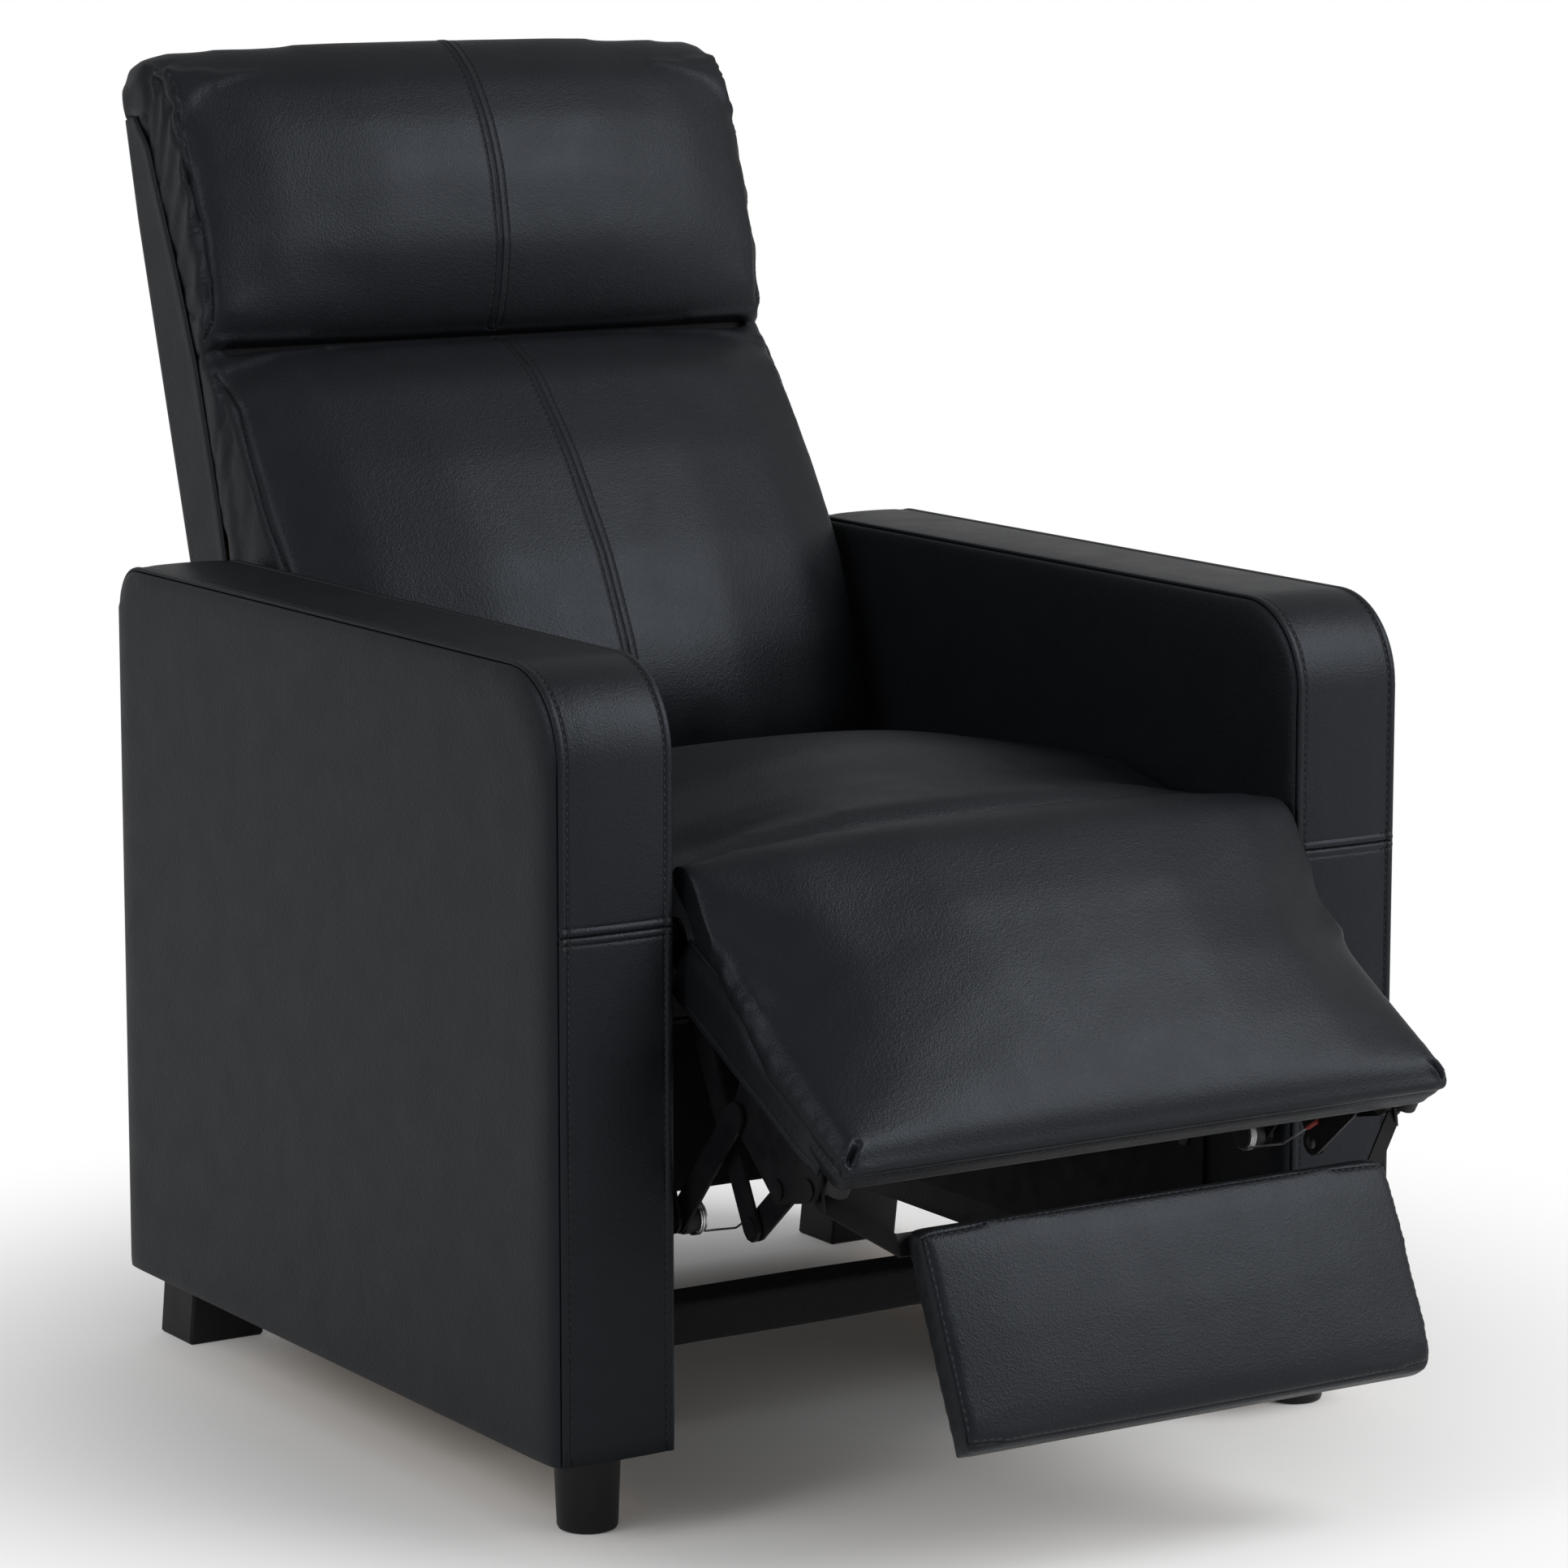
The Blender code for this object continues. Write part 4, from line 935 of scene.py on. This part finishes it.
turns = [math.radians(angle) for angle in (0, 15, 30, 45, 60, 75, 90)]
flat = between(back_half - corner_round, corner_round - back_half, 0.012)[1:-1]
wall_shares = [0, 0.012, 0.03, 0.055, 0.09, 0.14, 0.2, 0.28, 0.38, 0.5, 0.62, 0.74, 0.86, 0.95]
side_columns = [("wall", share) for share in wall_shares] + [("turn", angle) for angle in turns]
profile = [(1, *item) for item in side_columns] + [(1, "flat", x) for x in flat]
profile += [(-1, *item) for item in side_columns[::-1]]
bm = grid(list(range(len(profile))), between(cover_foot, cover_top, 0.010))
for vert in bm.verts:
    side, kind, value = profile[round(vert.co.x)]
    up = vert.co.y
    front = curve_at(gusset_line, up) + 0.0006
    rear = back_rear + back_extra(up)
    if kind == "wall":
        depth = front + (rear - corner_round - front) * value
        sunk = 0.0012 * dip(depth - front, 0.0012) - 0.0004 * dip(depth - front - 0.005, 0.003)
        x = back_half - sunk
    elif kind == "turn":
        x = back_half - corner_round * (1 - math.cos(value))
        depth = rear - corner_round * (1 - math.sin(value))
    else:
        x, depth = value, rear
    vert.co = back_place @ Vector((side * x if kind != "flat" else x, depth, up))
cover = piece_of("back_cover_leather", bm, "back", leather, turned=False)
thicken(cover, (0, 1, 0), cover_wall)
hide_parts("back_cover")

# Lumbar cushion
# The lower back cushion: full and round over the sitter's loins, with a double-stitched
# seam down its middle, a side seam at each edge and a soft gusset behind it.
wing_inner, wing_outer = 0.2450, 0.2562
centre_rows, centre_reach = 0.0060, 0.016
lumbar_side = [(-0.098, 0.175), (-0.093, 0.255), (-0.080, 0.302), (-0.062, 0.340), (-0.048, 0.385),
               (-0.036, 0.433), (-0.022, 0.452), (-0.008, 0.466)]


def wings(outline):
    """Both gusset walls of a back cushion, as straight solids beside the frame's stiles."""
    def add(bm):
        for side in (-1, 1):
            rings = [[bm.verts.new(back_place @ Vector((side * x, depth, up))) for depth, up in outline]
                     for x in (wing_inner, wing_outer)]
            faces = [bm.faces.new(rings[0]), bm.faces.new(rings[1][::-1])]
            for near in range(len(outline)):
                far = (near + 1) % len(outline)
                faces.append(bm.faces.new((rings[0][far], rings[0][near], rings[1][near], rings[1][far])))
            bmesh.ops.recalc_face_normals(bm, faces=faces)
    return add


def back_line(points, x=0.0):
    """Points of the back's own side view, in the room."""
    return [back_place @ Vector((x, depth, up)) for depth, up in points]


def centre_seam(gap):
    """The section of a felled seam: a groove on a low ridge that two stitch rows hold down."""
    ridge = 0.0007 * (1 - ease((gap - 0.0015) / 0.010))
    return ridge - 0.0013 * dip(gap, 0.0006) - 0.0007 * dip(gap - centre_rows, 0.0009)


lumbar = stuffed("lumbar_cushion_cover", "lumbar_cushion",
                 held=lambda co, out: (to_back @ co).y > -0.012, passes=16,
                 extra=wings([(0.000, 0.335), (0.0140, 0.345), (0.0210, 0.472), (0.0225, 0.487),
                              (0.000, 0.487)]))
lumbar_top = 0.482


def corner(share):
    """How far a rounded corner is drawn in, from 1 at its end to 0 at its start."""
    share = min(max(share, 0), 1)
    return 1 - math.sqrt(1 - share * share)


def lumbar_shape(x, depth, up):
    """The upper corners drawn in towards the pillow's seam."""
    drawn = 0.075 * corner(1 - (lumbar_top - up) / 0.040) * smooth((0.010 - depth) / 0.030)
    return x * (1 - drawn), depth, up


shaped(lumbar, back_place, lumbar_shape)
middle_seam = Seam(lumbar, back_line([(-0.147, 0.110), (-0.147, 0.169), (-0.140, 0.249), (-0.116, 0.329),
                                      (-0.076, 0.417), (-0.043, 0.466), (-0.015, 0.484)]))
side_seams = [Seam(lumbar, back_line(lumbar_side, x)) for x in (-0.2565, 0.2565)]
refine(lumbar, [middle_seam], (0.015, 0.012, 0.009))
refine(lumbar, side_seams, (0.012, 0.007))
side_folds = [(0.110, 0.014, 0.0010), (0.205, 0.012, 0.0013), (0.262, 0.009, 0.0020), (0.290, 0.007, 0.0022)]


def sewn(middle, sides, folds, wall, reach):
    """How deep a back cushion is drawn in at a place: by its middle seam, side seams and folds."""
    def depth(place):
        gap, _ = middle.near(place)
        if gap < centre_reach:
            return centre_seam(gap)
        total = 0
        for seam in sides:
            gap, travel = seam.near(place)
            if gap < reach:
                total += valley(gap) + gathers(gap, travel, folds, abs(place.x) > wall)
        return total
    return depth


carve(lumbar, sewn(middle_seam, side_seams, side_folds, wall=0.254, reach=0.06))
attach(lumbar, "back")
stitches("lumbar_centre_stitching",
         [middle_seam.row(lumbar, offset) for offset in (-centre_rows, centre_rows)],
         "back")

# Head pillow
# The upper back cushion: it rolls over the top rail with a flap behind, and its side
# seams are gathered where the gusset is eased round the corners.
pillow_side = [(0.000, 0.4920), (-0.018, 0.5005), (-0.020, 0.5345), (-0.018, 0.5645), (-0.009, 0.617),
               (0.009, 0.672), (0.0225, 0.700), (0.0380, 0.7150)]
pillow = stuffed("head_pillow_cover", "head_pillow",
                 held=lambda co, out: (to_back @ co).y > -0.006 and (to_back @ co).z < 0.70,
                 passes=16, shrink=0.0015,
                 extra=wings([(0.000, 0.479), (0.0220, 0.479), (0.0355, 0.560), (0.0505, 0.629),
                              (0.0500, 0.657), (0.0600, 0.674), (0.0640, 0.690), (0.0400, 0.705),
                              (0.000, 0.650)]))
pillow_foot, pillow_half = 0.4845, 0.2575


def pillow_shape(x, depth, up):
    """Full upper corners, lower corners drawn in, and the flap that follows the back's rear."""
    share = min(abs(x) / pillow_half, 1)
    drawn = 0.085 * corner(1 - (up - pillow_foot) / 0.028) * smooth((0.010 - depth) / 0.030)
    up += 0.012 * share ** 4 * smooth((up - 0.600) / 0.100)
    return x * (1 - drawn), depth + back_extra(up) * smooth((depth - 0.020) / 0.050), up


shaped(pillow, back_place, pillow_shape)
middle_seam_up = Seam(pillow, back_line([(-0.009, 0.489), (-0.026, 0.516), (-0.045, 0.576), (-0.045, 0.614),
                                         (-0.0235, 0.690), (-0.003, 0.718), (0.014, 0.733),
                                         (0.050, 0.733), (0.080, 0.715)]))
pillow_seams = [Seam(pillow, back_line(pillow_side, x)) for x in (-0.2570, 0.2570)]
refine(pillow, [middle_seam_up], (0.015, 0.012, 0.009))
refine(pillow, pillow_seams, (0.014, 0.008))
pillow_folds = [(0.045, 0.012, 0.0034), (0.095, 0.015, 0.0030), (0.138, 0.010, 0.0040),
                (0.172, 0.013, 0.0036), (0.205, 0.009, 0.0046), (0.229, 0.010, 0.0040),
                (0.252, 0.008, 0.0048)]
carve(pillow, sewn(middle_seam_up, pillow_seams, pillow_folds, wall=0.252, reach=0.08))
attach(pillow, "back")
stitches("pillow_centre_stitching",
         [middle_seam_up.row(pillow, offset) for offset in (-centre_rows, centre_rows)],
         "back")

# Leg pad
# A crowned pad on its board, sewn to the seat along the fold, with a stitched border
# that wraps the board's edges, thin side skirts outside the cranks, and its cover tucked
# in at the front corners.
pad_slope = math.radians(27)
pad_place = Matrix.Translation(joints["footrest_fold"]["pos_m"]) @ Matrix.Rotation(pad_slope, 4, "X")
to_pad = pad_place.inverted()
pad_out = pad_place.to_3x3() @ Vector((0, 0, 1))
board_spots = [to_pad @ vert.co for vert in frame["nodes"]["footrest_board"].data.vertices]
board_front = -min(spot.y for spot in board_spots)
board_rear = -max(spot.y for spot in board_spots)
board_under, board_top = min(spot.z for spot in board_spots), max(spot.z for spot in board_spots)
board_half = max(spot.x for spot in board_spots)
notch_end, notch_half = 0.090, 0.235
pad_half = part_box("footrest_pad")[1].x
border_reach = 0.0055
border_seam = board_under + 0.0195
glide_radius, glide_depth, glide_inset = 0.008, 0.010, 0.006
wing_wall, wing_foot, wing_start, wing_top = 0.0125, -0.0360, 0.012, -0.020
crease_rise = 0.008
border_low, border_rise = board_under - 0.0015, board_top + 0.008
skirt_out, skirt_in, skirt_foot, skirt_top = 0.2562, 0.2530, board_under - 0.0015, -0.034
skirt_wall = 0.0012
front_edge = board_front + border_reach
side_edge = board_half + border_reach


def pad_line(points):
    """Points given across, forwards along the pad and out from its board, in the room."""
    return [pad_place @ Vector((x, -along, out)) for x, along, out in points]


def boxed(bm, place, low, high):
    """Add a plain block between two corners of a frame."""
    shape = Matrix.Translation((low + high) / 2) @ Matrix.Diagonal((*(high - low), 1))
    bmesh.ops.create_cube(bm, size=1, matrix=place @ shape)


def pad_border(bm):
    """The border round the board, narrower where the board is notched at the rear."""
    boxed(bm, pad_place, Vector((-board_half - border_reach, -board_front - border_reach, border_low)),
          Vector((board_half + border_reach, -notch_end, border_rise)))
    boxed(bm, pad_place, Vector((-notch_half, -notch_end - 0.01, border_low)),
          Vector((notch_half, -board_rear + 0.003, border_rise)))
    for side in (-1, 1):
        middle = side * (pad_half - wing_wall / 2)
        boxed(bm, pad_place, Vector((middle - wing_wall / 2, -notch_end - 0.010, wing_foot)),
              Vector((middle + wing_wall / 2, -wing_start, wing_top)))


leg_pad = stuffed("leg_pad_cover", "footrest_pad",
                  held=lambda co, out: (to_pad @ co).z < board_top + 0.002 or pad_out.dot(out) < 0.1,
                  passes=12, extra=pad_border, half=0.2575)


def pad_shape(x, y, out):
    """A full rear edge: it rises to the crease and reaches out to the arms."""
    wide = 1 + 0.06 * (1 - smooth((-y - 0.030) / 0.070)) * smooth((out + 0.030) / 0.020)
    lift = crease_rise * (1 - smooth(-y / 0.100)) * smooth((out + 0.010) / 0.015)
    return min(max(x * wide, -skirt_out), skirt_out), y, out + lift


shaped(leg_pad, pad_place, pad_shape)
corner_line = [(side_edge, 0.095), (side_edge, front_edge - 0.012), (side_edge - 0.004, front_edge - 0.003),
               (side_edge - 0.012, front_edge)]
border = Seam(leg_pad, pad_line([(-x, along, border_seam) for x, along in corner_line]
                                + [(x, along, border_seam) for x, along in corner_line[::-1]]))
tucks = [Seam(leg_pad, pad_line([(side * (side_edge - 0.004), front_edge - 0.002, border_seam),
                                 (side * (side_edge - 0.004), front_edge, border_seam + 0.010),
                                 (side * (side_edge - 0.010), front_edge - 0.004, border_seam + 0.022)]))
         for side in (-1, 1)]
refine(leg_pad, [border, *tucks], (0.012, 0.007))


def pad_depth(place):
    """The border's seam, and the tucks that take in the cover at the front corners."""
    gap, _ = border.near(place)
    total = valley(gap) if gap < 0.03 else 0
    for tuck in tucks:
        gap, travel = tuck.near(place)
        if gap < 0.03:
            deep = math.sin(math.pi * min(travel / tuck.length, 1)) * 0.8 + 0.2
            total += deep * (0.0016 * dip(gap - 0.0045, 0.0025) - 0.0045 * dip(gap, 0.0020))
    return total


def raised(piece, place, shown, rise):
    """Lift a cover's underside into its board, so that only the turned-in edge shows."""
    spots = places_of(piece)
    lift = place.to_3x3() @ Vector((0, 0, rise))
    back = place.inverted()
    for index, vert in enumerate(piece.data.vertices):
        if shown(back @ vert.co):
            spots[index] += lift
    set_places(piece, spots)


def under_board(spot):
    inside = min(side_edge - abs(spot.x), front_edge + spot.y, 0.2)
    return spot.z < board_under + 0.002 and inside > 0.028


carve(leg_pad, pad_depth)
raised(leg_pad, pad_place, under_board, 0.0045)
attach(leg_pad, "footrest")
columns = between(0.010, board_front - 0.016, 0.006)
rows = between(0, 0.012, 0.001)[:-1] + between(0.012, skirt_top - skirt_foot, 0.002)
for label, side in (("left", -1), ("right", 1)):
    bm = grid(columns, rows)
    for vert in bm.verts:
        along, share = vert.co.x, vert.co.y / (skirt_top - skirt_foot)
        upper = skirt_top - 0.015 * smooth((along - 0.080) / 0.050)
        out = skirt_foot + share * (upper - skirt_foot)
        tucked = max(smooth((share - 0.70) / 0.30), smooth((along - board_front + 0.040) / 0.024))
        x = skirt_out - (skirt_out - skirt_in) * tucked - 0.0008 * dip(out - skirt_foot - 0.006, 0.0009)
        x -= 0.0012 * (1 - ease((out - skirt_foot) / 0.003))
        vert.co = pad_place @ Vector((side * x, -along, out))
    skirt = piece_of(f"{label}_leg_pad_skirt", bm, "footrest", leather, turned=False)
    thicken(skirt, (side, 0, 0), skirt_wall)
bm = bmesh.new()
for side in (-1, 1):
    spot = (side * (board_half - glide_inset), -board_front + glide_inset, board_under - 0.004)
    bmesh.ops.create_cone(bm, cap_ends=True, segments=24, radius1=glide_radius, radius2=glide_radius * 1.1,
                          depth=glide_depth, matrix=pad_place @ Matrix.Translation(spot))
piece_of("leg_pad_glides", bm, "footrest", rubber)
stitches("leg_pad_border_stitching", [border.row(leg_pad, -0.0030)], "footrest",
         pitch=0.0062, length=0.0046)

# Lower pad
# The small pad under the leg pad: a boxed cushion on its own board, with a seam round
# its face and the cover turned in behind.
lower_slope = math.radians(66)
lower_origin = Vector((0, front_plane - 0.190, 0.252))
lower_place = Matrix.Translation(lower_origin) @ Matrix.Rotation(lower_slope, 4, "X")
to_lower = lower_place.inverted()
lower_spots = [to_lower @ vert.co for vert in frame["nodes"]["lower_pad_board"].data.vertices]
lower_corner = Vector([min(spot[axis] for spot in lower_spots) for axis in range(3)])
lower_far = Vector([max(spot[axis] for spot in lower_spots) for axis in range(3)])
wrap = 0.0042


def lower_border(bm):
    """The border round the lower pad's board."""
    boxed(bm, lower_place, lower_corner - Vector((wrap, wrap, 0.0015)),
          Vector((lower_far.x + wrap, lower_far.y + wrap, lower_far.z + 0.006)))


lower_pad = stuffed("lower_pad_cover", "lower_pad",
                    held=lambda co, out: (to_lower @ co).z < lower_far.z - 0.001,
                    passes=3, extra=lower_border, half=0.202)
face_seam = 0.006
edge_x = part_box("lower_pad")[1].x
face_corners = [(-edge_x, lower_corner.y), (edge_x, lower_corner.y), (edge_x, lower_far.y),
                (-edge_x, lower_far.y), (-edge_x, lower_corner.y)]
face_line = Seam(lower_pad, [lower_place @ Vector((x, y, face_seam)) for x, y in face_corners])
refine(lower_pad, [face_line], (0.010, 0.006))
carve(lower_pad, lambda place: valley(face_line.near(place)[0]) * 0.8)


def under_lower_board(spot):
    inside = min(lower_far.x + wrap - abs(spot.x), spot.y - lower_corner.y + wrap,
                 lower_far.y + wrap - spot.y)
    return spot.z < lower_corner.z + 0.002 and inside > 0.022


raised(lower_pad, lower_place, under_lower_board, 0.004)
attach(lower_pad, "lower_pad")
stitches("lower_pad_stitching", [face_line.row(lower_pad, 0.0030)], "lower_pad",
         pitch=0.0060, length=0.0044)

low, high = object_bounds()
